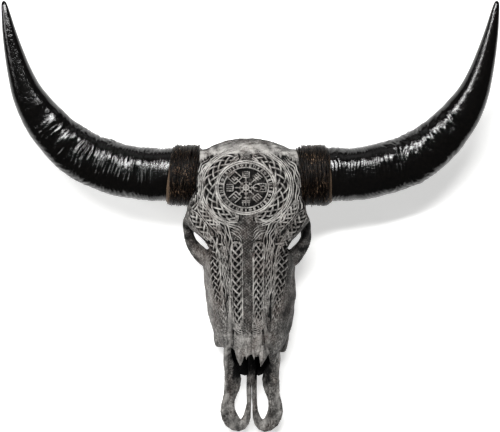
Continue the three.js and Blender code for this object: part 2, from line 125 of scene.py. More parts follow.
def add_node(
    tree: bpy.types.NodeTree,
    kind: str,
    *values: Value,
    out: str = "",
    stops: Sequence[tuple[float, str]] = (),
    **settings: Value,
) -> bpy.types.NodeSocket:
    """Add a shader node with its settings and links.

    Args:
        tree: Node tree that gets the node.
        kind: Node type without its "ShaderNode".
        *values: Sockets or values for the inputs in use, in their order.
        out: Name of the output to hand on, or nothing for the first one in use.
        stops: A colour ramp's places from 0 to 1, each with its hex colour.
        **settings: Attributes of the node, or with a capital letter its inputs by name.

    Returns:
        The output.
    """
    made = tree.nodes.new("ShaderNode" + kind)
    for key in (key for key in settings if key.islower()):
        setattr(made, key, settings[key])
    pairs = list(zip([socket for socket in made.inputs if socket.enabled], values))
    pairs += [(made.inputs[key], value) for key, value in settings.items() if not key.islower()]
    for socket, value in pairs:
        if isinstance(value, bpy.types.NodeSocket):
            tree.links.new(value, socket)
        else:
            socket.default_value = linear(value) if isinstance(value, str) else value
    if stops:
        elements = made.color_ramp.elements
        while len(elements) < len(stops):
            elements.new(1.0)
        for element, (place, colour) in zip(elements, stops):
            element.position, element.color = place, linear(colour)
    return made.outputs[out] if out else next(socket for socket in made.outputs if socket.enabled)


def pattern(tree: bpy.types.NodeTree, size_mm: Triple, turn: float = 0.0) -> bpy.types.NodeSocket:
    """Scale and turn object coordinates so that one unit of a texture is one grain.

    Args:
        tree: Node tree that gets the nodes.
        size_mm: Size of the grain along X, Y and Z in millimetres.
        turn: Turn about Z in radians.

    Returns:
        The vector.
    """
    place = add_node(tree, "TexCoord", out="Object")
    scale = tuple(1 / (size * MM) for size in size_mm)
    return add_node(tree, "Mapping", place, Scale=scale, Rotation=(0, 0, turn))


def grain(
    tree: bpy.types.NodeTree, size_mm: Triple, detail: float, rough: float = 0.55, bend: float = 0.0
) -> bpy.types.NodeSocket:
    """Draw cloudy grain of a real size.

    Args:
        tree: Node tree that gets the nodes.
        size_mm: Size of the grain along X, Y and Z in millimetres.
        detail: Number of octaves.
        rough: Strength of the finer octaves.
        bend: Distortion.

    Returns:
        The grain, about 0 to 1.
    """
    place = pattern(tree, size_mm)
    return add_node(tree, "TexNoise", place, Scale=1.0, Detail=detail, Roughness=rough, Distortion=bend)


def veil(
    tree: bpy.types.NodeTree,
    colour: bpy.types.NodeSocket,
    where: bpy.types.NodeSocket,
    none_full: Pair,
    strength: float,
    tint: str,
) -> bpy.types.NodeSocket:
    """Lay a thin tint over a colour where a grain says so.

    Args:
        tree: Node tree that gets the nodes.
        colour: Colour below.
        where: Grain that spreads the tint.
        none_full: Values of the grain where there is none of the tint, and where it is full.
        strength: Share of the tint where it is full.
        tint: Hex colour.

    Returns:
        The tinted colour.
    """
    spread = add_node(tree, "ValToRGB", where, stops=sorted(zip(none_full, ("000000", "ffffff"))))
    share = add_node(tree, "Math", spread, strength, operation="MULTIPLY")
    return add_node(tree, "Mix", share, colour, tint, data_type="RGBA")


def relief(
    tree: bpy.types.NodeTree, shader: bpy.types.Node, *layers: tuple[bpy.types.NodeSocket, float]
) -> None:
    """Shade layers of fine relief over each other.

    Args:
        tree: Node tree that gets the nodes.
        shader: Shader that shows the relief.
        *layers: Heights from 0 to 1, each with the millimetres that a height of 1 stands for.
    """
    below = {}
    for height, depth_mm in layers:
        normal = add_node(tree, "Bump", Strength=1.0, Distance=depth_mm * MM, Height=height, **below)
        below = {"Normal": normal}
    tree.links.new(normal, shader.inputs["Normal"])


def material_with(name: str) -> tuple[bpy.types.Material, bpy.types.NodeTree, bpy.types.Node]:
    """Start a material that has a principled shader wired to its output.

    Args:
        name: Name of the finish.

    Returns:
        The material, its node tree and the shader.
    """
    made = bpy.data.materials.new(name)
    made.use_nodes = True
    tree = made.node_tree
    return made, tree, tree.nodes["Principled BSDF"]


def smooth_step(low: float, high: float, value: np.ndarray) -> np.ndarray:
    """Smooth ramp from 0 at low to 1 at high."""
    t = np.clip((value - low) / (high - low), 0, 1)
    return t * t * (3 - 2 * t)


def coordinates(mesh: bpy.types.Mesh) -> np.ndarray:
    """Read the vertex positions of a mesh.

    Args:
        mesh: Mesh to read.

    Returns:
        One row each, in millimetres on the plan.
    """
    flat = np.empty(len(mesh.vertices) * 3)
    mesh.vertices.foreach_get("co", flat)
    return flat.reshape(-1, 3) / MM - SHIFT


def place_vertices(mesh: bpy.types.Mesh, points: np.ndarray) -> None:
    """Move the vertices of a mesh to positions in millimetres on the plan."""
    mesh.vertices.foreach_set("co", ((points + SHIFT) * MM).ravel())
    mesh.update()


def store(mesh: bpy.types.Mesh, name: str, values: np.ndarray) -> None:
    """Keep one number per vertex for the materials."""
    made = mesh.attributes.get(name) or mesh.attributes.new(name, "FLOAT", "POINT")
    made.data.foreach_set("value", values.astype(np.float32))


def waves(points: np.ndarray, size: float, seed: int, octaves: int = 3) -> np.ndarray:
    """Smooth random waves in space, about -1 to 1.

    Args:
        points: Positions, one row each.
        size: Rough size of the largest wave, in the points' unit.
        seed: Number that fixes the draw.
        octaves: How many halvings of size are added.

    Returns:
        One value per point.
    """
    draw = np.random.default_rng(seed)
    total = np.zeros(len(points))
    for octave in range(octaves):
        for _ in range(6):
            direction = draw.normal(size=points.shape[1])
            length = size * 0.5**octave * np.linalg.norm(direction)
            direction *= 2 * math.pi / length * draw.uniform(0.7, 1.3)
            total += 0.5**octave * np.sin(points @ direction + draw.uniform(0, 2 * math.pi)) / 6**0.5
    return total


def shade_smooth(mesh: bpy.types.Mesh) -> None:
    """Shade every face of a mesh smoothly."""
    mesh.polygons.foreach_set("use_smooth", [True] * len(mesh.polygons))


def new_object(name: str, mesh: bpy.types.Mesh) -> bpy.types.Object:
    """Put a mesh in the scene as a smooth-shaded object.

    Args:
        name: Name of the object and its mesh.
        mesh: The mesh.

    Returns:
        The object.
    """
    mesh.name = name
    shade_smooth(mesh)
    made = bpy.data.objects.new(name, mesh)
    bpy.context.scene.collection.objects.link(made)
    return made


def finish_piece(piece: bpy.types.Object, material: bpy.types.Material, slot: str, *nodes: str) -> None:
    """Dress a piece, fix it to the skull's one body and log it.

    Args:
        piece: The finished object.
        material: Its material.
        slot: Material slot; not used.
        *nodes: CAD nodes that it stands for.
    """
    piece.data.materials.clear()
    piece.data.materials.append(material)
    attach(piece, "root")
    if nodes:
        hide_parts(*nodes)
    log.info("%s: %d vertices", piece.name, len(piece.data.vertices))


def joined_nodes(nodes: Sequence[str], swell_mm: float = 0.0) -> bmesh.types.BMesh:
    """Copy CAD nodes into one shell.

    Args:
        nodes: CAD nodes to copy.
        swell_mm: How far each node grows, to close the seams between them.

    Returns:
        The shell.
    """
    shell = bmesh.new()
    for node in nodes:
        part = bmesh.new()
        part.from_mesh(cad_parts[node].data)
        bmesh.ops.remove_doubles(part, verts=part.verts, dist=1e-6)
        part.normal_update()
        for vertex in part.verts:
            vertex.co += vertex.normal * swell_mm * MM
        copy = bpy.data.meshes.new(node + "_copy")
        part.to_mesh(copy)
        part.free()
        shell.from_mesh(copy)
        bpy.data.meshes.remove(copy)
    return shell


def remeshed(name: str, shell: bmesh.types.BMesh, voxel_mm: float) -> bpy.types.Object:
    """Turn a shell of overlapping solids into one even mesh.

    Args:
        name: Name of the new object.
        shell: The solids. It is freed.
        voxel_mm: Edge length of the even mesh.

    Returns:
        The new object.
    """
    mesh = bpy.data.meshes.new(name)
    shell.to_mesh(mesh)
    shell.free()
    rough = bpy.data.objects.new(name + "_rough", mesh)
    bpy.context.scene.collection.objects.link(rough)
    remesh = rough.modifiers.new("even", "REMESH")
    remesh.mode = "VOXEL"
    remesh.voxel_size = voxel_mm * MM
    seen = rough.evaluated_get(bpy.context.evaluated_depsgraph_get())
    even = bpy.data.meshes.new_from_object(seen)
    bpy.data.objects.remove(rough)
    bpy.data.meshes.remove(mesh)
    return new_object(name, even)


def relax(mesh: bpy.types.Mesh, rounds: int) -> None:
    """Smooth a mesh without shrinking it, by turns of inward and outward averaging.

    Args:
        mesh: Mesh to smooth.
        rounds: Number of inward and outward pairs.
    """
    edges = np.empty(len(mesh.edges) * 2, np.int64)
    mesh.edges.foreach_get("vertices", edges)
    a, b = edges[0::2], edges[1::2]
    points = coordinates(mesh)
    count = len(points)
    degree = np.bincount(a, minlength=count) + np.bincount(b, minlength=count)
    for _ in range(rounds):
        for share in (0.5, -0.53):
            total = np.empty_like(points)
            for axis in range(3):
                near, far = points[a, axis], points[b, axis]
                total[:, axis] = np.bincount(a, far, count) + np.bincount(b, near, count)
            points += share * (total / degree[:, None] - points)
    place_vertices(mesh, points)


def normals_of(mesh: bpy.types.Mesh) -> np.ndarray:
    """Read the vertex normals of a mesh.

    Args:
        mesh: Mesh to read.

    Returns:
        One row each.
    """
    flat = np.empty(len(mesh.vertices) * 3, np.float32)
    mesh.vertex_normals.foreach_get("vector", flat)
    return flat.reshape(-1, 3).astype(float)


# Finishes. Each size of a grain is that of the real surface in millimetres, unless a comment says otherwise.


@dataclass(frozen=True)
class AgedBone:
    """Dry weathered bone with dark wax rubbed into the carving: matt, grey, paler where hands have rubbed it.
    Its dark mark also carries painted shade, and its pale mark painted highlights.
    """

    name: str = "aged_carved_bone"
    pale: str = "cfccc7"
    grey: str = "5a5754"
    shade: str = "2c2a28"
    warm: str = "6f5d54"
    pepper: str = "121110"
    # The darkest colour, for wax in the carving and for painted shade.
    stain_and_shade: str = "030303"
    fibres: tuple[str, str, str] = ("171615", "575451", "bdb9b4")

    def build(self) -> bpy.types.Material:
        """Make the material.

        Returns:
            The material.
        """
        made, tree, shader = material_with(self.name)
        add = partial(add_node, tree)
        clouds = grain(tree, (46, 70, 46), 5, 0.6, 0.4)
        blotches = grain(tree, (8, 13, 8), 6, 0.68, 0.6)
        streaks = grain(tree, (1.9, 22, 1.9), 4, 0.62, 0.3)
        specks = grain(tree, (2.8, 3.6, 2.8), 3, 0.75)
        marks = ("stain_and_shade", "polish_and_highlight", "hatch", "filigree")
        stain_and_shade, polish_and_highlight, hatch, filigree = (add("Attribute", attribute_name=mark, out="Fac") for mark in marks)
        colour = add("ValToRGB", blotches, stops=((0.3, self.shade), (0.48, self.grey), (0.74, self.pale)))
        fibres = add("ValToRGB", streaks, stops=tuple(zip((0.4, 0.5, 0.6), self.fibres)))
        colour = add("Mix", 0.55, colour, fibres, data_type="RGBA")
        colour = veil(tree, colour, clouds, (0.46, 0.62), 0.4, self.warm)
        colour = veil(tree, colour, specks, (0.5, 0.38), 0.8, self.pepper)
        colour = veil(tree, colour, specks, (0.54, 0.66), 0.55, self.pale)
        # Painted highlight, and rubbing by hands: the pale mark lightens the colour, broken up by specks.
        buffed = add("Math", specks, 0.45, operation="ADD")
        glow = add("Math", polish_and_highlight, buffed, operation="MULTIPLY", use_clamp=True)
        colour = add("Mix", glow, colour, self.pale, data_type="RGBA")
        lines, cuts = self.filigree(tree), self.hatching(tree)
        uneven = add("Math", blotches, streaks, operation="ADD")
        uneven = add("Math", uneven, 1.4, -1.4, operation="MULTIPLY_ADD")
        # Painted shade, wax and dirt: the dark mark darkens the colour, more where the grain is uneven, and
        # the cut lines of the filigree and hatching are darkened with it.
        dark = add("Math", uneven, stain_and_shade, stain_and_shade, operation="MULTIPLY_ADD")
        for cut, place, strength in ((lines, filigree, 0.75), (cuts, hatch, 0.34)):
            low = add("Math", 1.0, cut, operation="SUBTRACT")
            low = add("Math", low, place, operation="MULTIPLY")
            dark = add("Math", low, strength, dark, operation="MULTIPLY_ADD", use_clamp=True)
        colour = add("Mix", dark, colour, self.stain_and_shade, data_type="RGBA")
        tree.links.new(colour, shader.inputs["Base Color"])
        matt = add("Math", streaks, 0.25, 0.38, operation="MULTIPLY_ADD")
        matt = add("Math", dark, 0.4, matt, operation="MULTIPLY_ADD", use_clamp=True)
        tree.links.new(matt, shader.inputs["Roughness"])
        shader.inputs["Specular IOR Level"].default_value = 0.28
        # Pores of bone are a few tenths of a millimetre across, and these are coarser so that they show.
        holes = add("TexVoronoi", pattern(tree, (1.3, 1.9, 1.3)), Scale=1.0, feature="F1")
        pores = add("ValToRGB", holes, stops=((0.05, "000000"), (0.35, "ffffff")))
        hatched = add("Math", cuts, hatch, operation="MULTIPLY")
        wound = add("Math", lines, filigree, operation="MULTIPLY")
        relief(tree, shader, (streaks, 1.3), (blotches, 1.8), (pores, 0.2), (hatched, 1.0), (wound, 1.1))
        return made

    def hatching(self, tree: bpy.types.NodeTree) -> bpy.types.NodeSocket:
        """Cross-hatching cut about 4 mm apart, coarser than the real one so that it shows in the picture.

        Args:
            tree: Node tree of the material.

        Returns:
            Height of the hatched ground, 0 to 1.
        """
        # This texture has a band every 0.31 of its unit.
        cuts = [
            add_node(tree, "TexWave", pattern(tree, (12, 12, 12), turn), 1.0, 2.0, 1.0, out="Fac")
            for turn in (0.9, -0.9)
        ]
        both = add_node(tree, "Math", *cuts, operation="MULTIPLY")
        return add_node(tree, "ValToRGB", both, stops=((0.05, "000000"), (0.5, "ffffff")))

    def filigree(self, tree: bpy.types.NodeTree) -> bpy.types.NodeSocket:
        """Winding lines about 6 mm apart, which fill the ground between the larger motifs.

        Args:
            tree: Node tree of the material.

        Returns:
            Height of the lines, 0 to 1.
        """
        band = add_node(tree, "TexWave", pattern(tree, (20, 34, 20), 0.1), 1.0, 9.0, 1.5, 1.2, out="Fac")
        return add_node(tree, "ValToRGB", band, stops=((0.25, "000000"), (0.6, "ffffff")))


@dataclass(frozen=True)
class PolishedHorn:
    """Black keratin, oiled and buffed: a deep gloss broken by growth rings, with light bounced onto its outer
    edge painted on in grey.
    """

    name: str = "polished_black_horn"
    black: str = "020202"
    brown: str = "0a0807"
    grey: str = "262524"

    def build(self) -> bpy.types.Material:
        """Make the material.

        Returns:
            The material.
        """
        made, tree, shader = material_with(self.name)
        add = partial(add_node, tree)
        fibres = grain(tree, (7, 7, 7), 6, 0.65, 0.6)
        specks = grain(tree, (1.5, 1.5, 1.5), 3, 0.7)
        rim = add("Attribute", attribute_name="rim", out="Fac")
        colour = add("ValToRGB", fibres, stops=((0.35, self.black), (0.75, self.brown)))
        # Painted reflection: a grey tint along the outer edge stands in for light bounced onto it, flecked by
        # the grain.
        wear_and_rim_light = add("Math", fibres, 1.2, 0.2, operation="MULTIPLY_ADD")
        wear_and_rim_light = add("Math", rim, wear_and_rim_light, operation="MULTIPLY")
        colour = add("Mix", wear_and_rim_light, colour, self.grey, data_type="RGBA")
        colour = veil(tree, colour, specks, (0.62, 0.72), 0.3, self.grey)
        tree.links.new(colour, shader.inputs["Base Color"])
        rough = add("Math", fibres, 0.16, 0.04, operation="MULTIPLY_ADD")
        rough = add("Math", rim, 0.4, rough, operation="MULTIPLY_ADD")
        tree.links.new(rough, shader.inputs["Roughness"])
        shader.inputs["IOR"].default_value = 1.54
        shader.inputs["Specular IOR Level"].default_value = 0.36
        relief(tree, shader, (fibres, 0.45), (specks, 0.08))
        return made


@dataclass(frozen=True)
class PalmFibre:
    """Tarred palm fibre wound by hand: nearly black, matt, with reddish brown strands catching the light."""

    name: str = "tarred_palm_fibre"
    black: str = "020202"
    brown: str = "1e120b"
    straw: str = "b0947a"

    def build(self) -> bpy.types.Material:
        """Make the material.

        Returns:
            The material.
        """
        made, tree, shader = material_with(self.name)
        add = partial(add_node, tree)
        # Single fibres are about half a millimetre thick, and these are twice that so that they show.
        strands = grain(tree, (1.1, 5, 5), 4, 0.72, 0.5)
        patches = grain(tree, (24, 24, 24), 3, 0.5)
        colour = add("ValToRGB", strands, stops=((0.5, self.black), (0.58, self.brown), (0.66, self.straw)))
        colour = veil(tree, colour, patches, (0.7, 0.46), 0.6867, self.black)
        bare = add("Attribute", attribute_name="bare", out="Fac")
        bare = add("Math", bare, strands, operation="MULTIPLY")
        colour = add("Mix", bare, colour, self.straw, data_type="RGBA")
        tree.links.new(colour, shader.inputs["Base Color"])
        shader.inputs["Roughness"].default_value = 0.3
        shader.inputs["Specular IOR Level"].default_value = 0.1
        relief(tree, shader, (strands, 0.8))
        return made


@dataclass(frozen=True)
class OpalTable:
    """Opal acrylic table lit from below: matt white, and its own glow keeps it white under the skull."""

    name: str = "opal_acrylic"
    white: str = "f4f4f3"
    cloudy: str = "efefee"
    glow: float = 0.6

    def build(self) -> bpy.types.Material:
        """Make the material.

        Returns:
            The material.
        """
        made, tree, shader = material_with(self.name)
        clouds = grain(tree, (300, 300, 300), 2)
        colour = add_node(tree, "ValToRGB", clouds, stops=((0.3, self.cloudy), (0.7, self.white)))
        tree.links.new(colour, shader.inputs["Base Color"])
        shader.inputs["Roughness"].default_value = 0.95
        shader.inputs["Emission Color"].default_value = linear(self.white)
        shader.inputs["Emission Strength"].default_value = self.glow
        return made


# Relief: the carved ground and the cords cut free in it


class Ground:
    """A face of the skull as a height over each point of the plan."""

    def __init__(self, tree: BVHTree, low: Pair, high: Pair, step: float) -> None:
        """Measure the heights.

        Args:
            tree: Surface to measure.
            low: Lowest x and y of the window.
            high: Highest x and y of the window.
            step: Distance between the heights.
        """
        self.low, self.step = np.array(low), step
        counts = np.ceil((np.array(high) - self.low) / step).astype(int) + 1
        self.heights = np.full(counts, np.nan)
        down = Vector((0, 0, -1))
        for i in range(counts[0]):
            for j in range(counts[1]):
                x, y = self.low + step * np.array([i, j]) + SHIFT[:2]
                hit = tree.ray_cast(Vector((x * MM, y * MM, ABOVE_SKULL * MM)), down)[0]
                if hit is not None:
                    self.heights[i, j] = hit.z / MM
        self.heights = np.where(np.isnan(self.heights), OFF_SKULL, self.heights)
        self.slopes = np.gradient(self.heights, step)

    def grid(self) -> tuple[np.ndarray, np.ndarray]:
        """The x and y of every height."""
        places = [self.low[k] + self.step * np.arange(self.heights.shape[k]) for k in (0, 1)]
        return tuple(np.meshgrid(*places, indexing="ij"))

    def bridge(self, gap: np.ndarray) -> None:
        """Draw the surface across a gap as a thin bent plate that runs on smoothly from its edge.

        Args:
            gap: True where the height isn't known.
        """
        number = np.full(gap.shape, -1)
        number[gap] = np.arange(gap.sum())
        near = gap.copy()
        for shift, axis in ((1, 0), (-1, 0), (1, 1), (-1, 1)):
            near |= np.roll(gap, shift, axis)
        rows = np.argwhere(near)
        system = np.zeros((len(rows), gap.sum()))
        known = np.zeros(len(rows))
        for row, (i, j) in enumerate(rows):
            for di, dj, weight in ((0, 0, -4), (1, 0, 1), (-1, 0, 1), (0, 1, 1), (0, -1, 1)):
                if gap[i + di, j + dj]:
                    system[row, number[i + di, j + dj]] += weight
                else:
                    known[row] -= weight * self.heights[i + di, j + dj]
        self.heights[gap] = np.linalg.solve(system.T @ system, system.T @ known)

    def look_up(self, grid: np.ndarray, plan: np.ndarray) -> np.ndarray:
        """Read a grid between its points.

        Args:
            grid: One of this ground's grids.
            plan: Points as x and y rows.

        Returns:
            One value per point.
        """
        place = np.clip((plan - self.low) / self.step, 0, np.array(grid.shape) - 1.001)
        cell = place.astype(int)
        fx, fy = (place - cell).T
        i, j = cell.T
        near = grid[i, j] * (1 - fx) + grid[i + 1, j] * fx
        far = grid[i, j + 1] * (1 - fx) + grid[i + 1, j + 1] * fx
        return near * (1 - fy) + far * fy

    def height(self, plan: np.ndarray) -> np.ndarray:
        """Height of the face."""
        return self.look_up(self.heights, plan)

    def normal(self, plan: np.ndarray) -> np.ndarray:
        """Outward direction of the face, kept within reach of upright.

        Args:
            plan: Points as x and y rows.

        Returns:
            One row per point.
        """
        slope = np.stack([self.look_up(s, plan) for s in self.slopes], 1)
        steep = np.linalg.norm(slope, axis=1, keepdims=True)
        slope *= np.minimum(1, STEEPEST_LEAN / np.maximum(steep, 1e-6))
        up = np.column_stack([-slope, np.ones(len(plan))])
        return up / np.linalg.norm(up, axis=1, keepdims=True)


def out_from_wheel(x: np.ndarray, y: np.ndarray, reach: Pair) -> np.ndarray:
    """Distance from the wheel's centre, as a share of an ellipse's reach."""
    return np.hypot((x - COMPASS_CENTRE[0]) / reach[0], (y - COMPASS_CENTRE[1]) / reach[1])


def from_midline(sign: int, out: float) -> float:
    """The x of a place some way out from the carving's midline, on one side of it."""
    return CARVING_MIDLINE + sign * out


def spaced(points: np.ndarray, step: float) -> np.ndarray:
    """Walk a smooth curve through given points in even steps.

    Args:
        points: Points that the curve passes, one row each.
        step: Distance between the new points.

    Returns:
        The new points.
    """
    points = np.asarray(points, float)
    ahead = np.vstack([2 * points[0] - points[1], points, 2 * points[-1] - points[-2]])
    fine = []
    for i in range(1, len(ahead) - 2):
        p0, p1, p2, p3 = ahead[i - 1 : i + 3]
        t = np.linspace(0, 1, 24, endpoint=False)[:, None]
        square, cube = 2 * p0 - 5 * p1 + 4 * p2 - p3, 3 * p1 - p0 - 3 * p2 + p3
        fine.append(0.5 * (2 * p1 + (p2 - p0) * t + square * t**2 + cube * t**3))
    fine = np.vstack([*fine, points[-1:]])
    along = np.concatenate([[0], np.cumsum(np.linalg.norm(np.diff(fine[:, :2], axis=0), axis=1))])
    stops = np.linspace(0, along[-1], max(3, round(along[-1] / step) + 1))
    return np.column_stack([np.interp(stops, along, column) for column in fine.T])


def sideways(line: np.ndarray) -> np.ndarray:
    """Work out which way is sideways at each point of a line over the plan.

    Args:
        line: Points, one row each.

    Returns:
        One row of length one per point.
    """
    run = np.gradient(line[:, :2], axis=0)
    run /= np.linalg.norm(run, axis=1, keepdims=True)
    return np.column_stack([-run[:, 1], run[:, 0]])


def gaps_to(line: np.ndarray, plan: np.ndarray) -> tuple[np.ndarray, np.ndarray]:
    """Measure the gaps between a line and the points of the plan that are near it.

    Args:
        line: Points of the line, with its half width where there is a third column.
        plan: Points as x and y rows.

    Returns:
        Which points are near, and the gap of each of those.
    """
    low, high = line[:, :2].min(0) - FURTHEST, line[:, :2].max(0) + FURTHEST
    near = (plan > low).all(1) & (plan < high).all(1)
    gaps = np.linalg.norm(plan[near][:, None] - line[None, :, :2], axis=2)
    return near, (gaps - line[None, :, 2:].sum(2)).min(1)


@dataclass
class Cord:
    """One carved cord: its way over the plan, its height over the face and its half width."""

    plan: np.ndarray
    lift: np.ndarray
    half: np.ndarray


@dataclass
class Band:
    """A sunk band that holds a plait. Each row of route is x, y and the band's half width."""

    route: list[Triple]
    strands: int
    period: float
    depth: float
    cord: float = 1.55
    swing: float = 0.85
    start: float = 0.0
    rail: float = 1.2

    def __post_init__(self) -> None:
        """Work out the even route and its sideways directions."""
        self.line = spaced(np.array(self.route), CORD_STEP)
        self.side = sideways(self.line)
        self.along = np.arange(len(self.line)) * np.linalg.norm(np.diff(self.line[:2, :2], axis=0))

    def cords(self) -> list[Cord]:
        """Cords of the plait, each passing over and under the others by turns.

        Returns:
            The cords.
        """
        made = []
        room = np.maximum(self.line[:, 2] - self.cord - 0.6, 0.4)
        for k in range(self.strands):
            turn = 2 * math.pi * (self.along / self.period + k / self.strands) + self.start
            across = np.sin(turn) - 0.07 * np.sin(3 * turn)
            lift = self.swing * np.sin((self.strands - 1) * (turn - math.pi / 2)) * np.clip(room / 5, 0.2, 1)
            plan = self.line[:, :2] + self.side * (across * room)[:, None]
            made.append(Cord(plan, lift - self.depth * 0.2, np.full(len(plan), self.cord)))
        return made

    def rails(self) -> list[Cord]:
        """The raised rims of the band.

        Returns:
            Two cords, or none.
        """
        if self.rail <= 0:
            return []
        made = []
        for sign in (-1, 1):
            plan = self.line[:, :2] + sign * self.side * (self.line[:, 2:3] + 0.5)
            made.append(Cord(plan, np.full(len(plan), -0.35), np.full(len(plan), self.rail)))
        return made

    def sunk(self, plan: np.ndarray) -> np.ndarray:
        """How deep the band is cut.

        Args:
            plan: Points as x and y rows.

        Returns:
            Millimetres, one per point.
        """
        depth = np.zeros(len(plan))
        near, gaps = gaps_to(self.line[::2], plan)
        depth[near] = self.depth * (1 - smooth_step(-2.0, 0.6, gaps))
        return depth


@dataclass
class Stream:
    """Side by side wavy ridges that follow one way over the bone."""

    route: Sequence[Pair] | np.ndarray
    lines: int = 3
    spread: float = 3.4
    sway: float = 1.3
    wave: float = 22.0
    half: float = 0.95
    lift: float = -0.25
    depth: float = 2.4
    seed: int = 1

    def cords(self) -> list[Cord]:
        """The ridges, each with its own slow sway and thin ends.

        Returns:
            One cord each.
        """
        draw = np.random.default_rng(self.seed)
        line = spaced(np.array(self.route), RIDGE_STEP)
        side = sideways(line)
        along = np.arange(len(line)) * RIDGE_STEP
        ends = np.clip(np.minimum(along, along[::-1]) / 9, 0.25, 1)
        made = []
        for k in range(self.lines):
            phase = draw.uniform(0, 2 * math.pi)
            offset = (k - (self.lines - 1) / 2) * self.spread
            drift = self.sway * np.sin(2 * math.pi * along / (self.wave * draw.uniform(0.8, 1.2)) + phase)
            plan = line + side * (offset + drift)[:, None]
            made.append(Cord(plan, np.full(len(line), self.lift), self.half * ends))
        return made

    def sunk(self, plan: np.ndarray) -> np.ndarray:
        """How deep the ground between the ridges is cut.

        Args:
            plan: Points as x and y rows.

        Returns:
            Millimetres, one per point.
        """
        depth = np.zeros(len(plan))
        near, gaps = gaps_to(spaced(np.array(self.route), COARSE_STEP), plan)
        depth[near] = self.depth * (1 - smooth_step(-1.0, 3.0, gaps - self.spread * self.lines / 2))
        return depth


@dataclass
class Knot:
    """A closed looping knot, cut free in a shallow hollow."""

    centre: Pair
    reach: Pair
    turn: float
    loops: tuple[int, int] = (2, 3)
    phase: float = 0.4
    cord: float = 1.6
    depth: float = 4.2

    def cords(self) -> list[Cord]:
        """The knot's single closed cord.

        Returns:
            A list of that cord.
        """
        t = np.linspace(0, 2 * math.pi, 150)
        a, b = self.loops
        shape = np.column_stack([self.reach[0] * np.sin(a * t + self.phase), self.reach[1] * np.sin(b * t)])
        c, s = math.cos(self.turn), math.sin(self.turn)
        plan = shape @ np.array([[c, s], [-s, c]]) + np.array(self.centre)
        lift = 1.3 * np.cos((a + b) * t + 0.6) - self.depth * 0.3
        return [Cord(plan, lift, np.full(len(t), self.cord))]

    def sunk(self, plan: np.ndarray) -> np.ndarray:
        """How deep the hollow is.

        Args:
            plan: Points as x and y rows.

        Returns:
            Millimetres, one per point.
        """
        c, s = math.cos(self.turn), math.sin(self.turn)
        own = (plan - np.array(self.centre)) @ np.array([[c, -s], [s, c]])
        far = np.linalg.norm(own / (np.array(self.reach) + 1.5), axis=1)
        return self.depth * (1 - smooth_step(0.9, 1.12, far))


class ArmEnd(Enum):
    """What an arm of the compass ends in."""

    BOX = "box"
    COMB = "comb"
    ROD = "rod"
    RING = "ring"
    BARS = "bars"
    FORK = "fork"
    DIAMOND = "diamond"


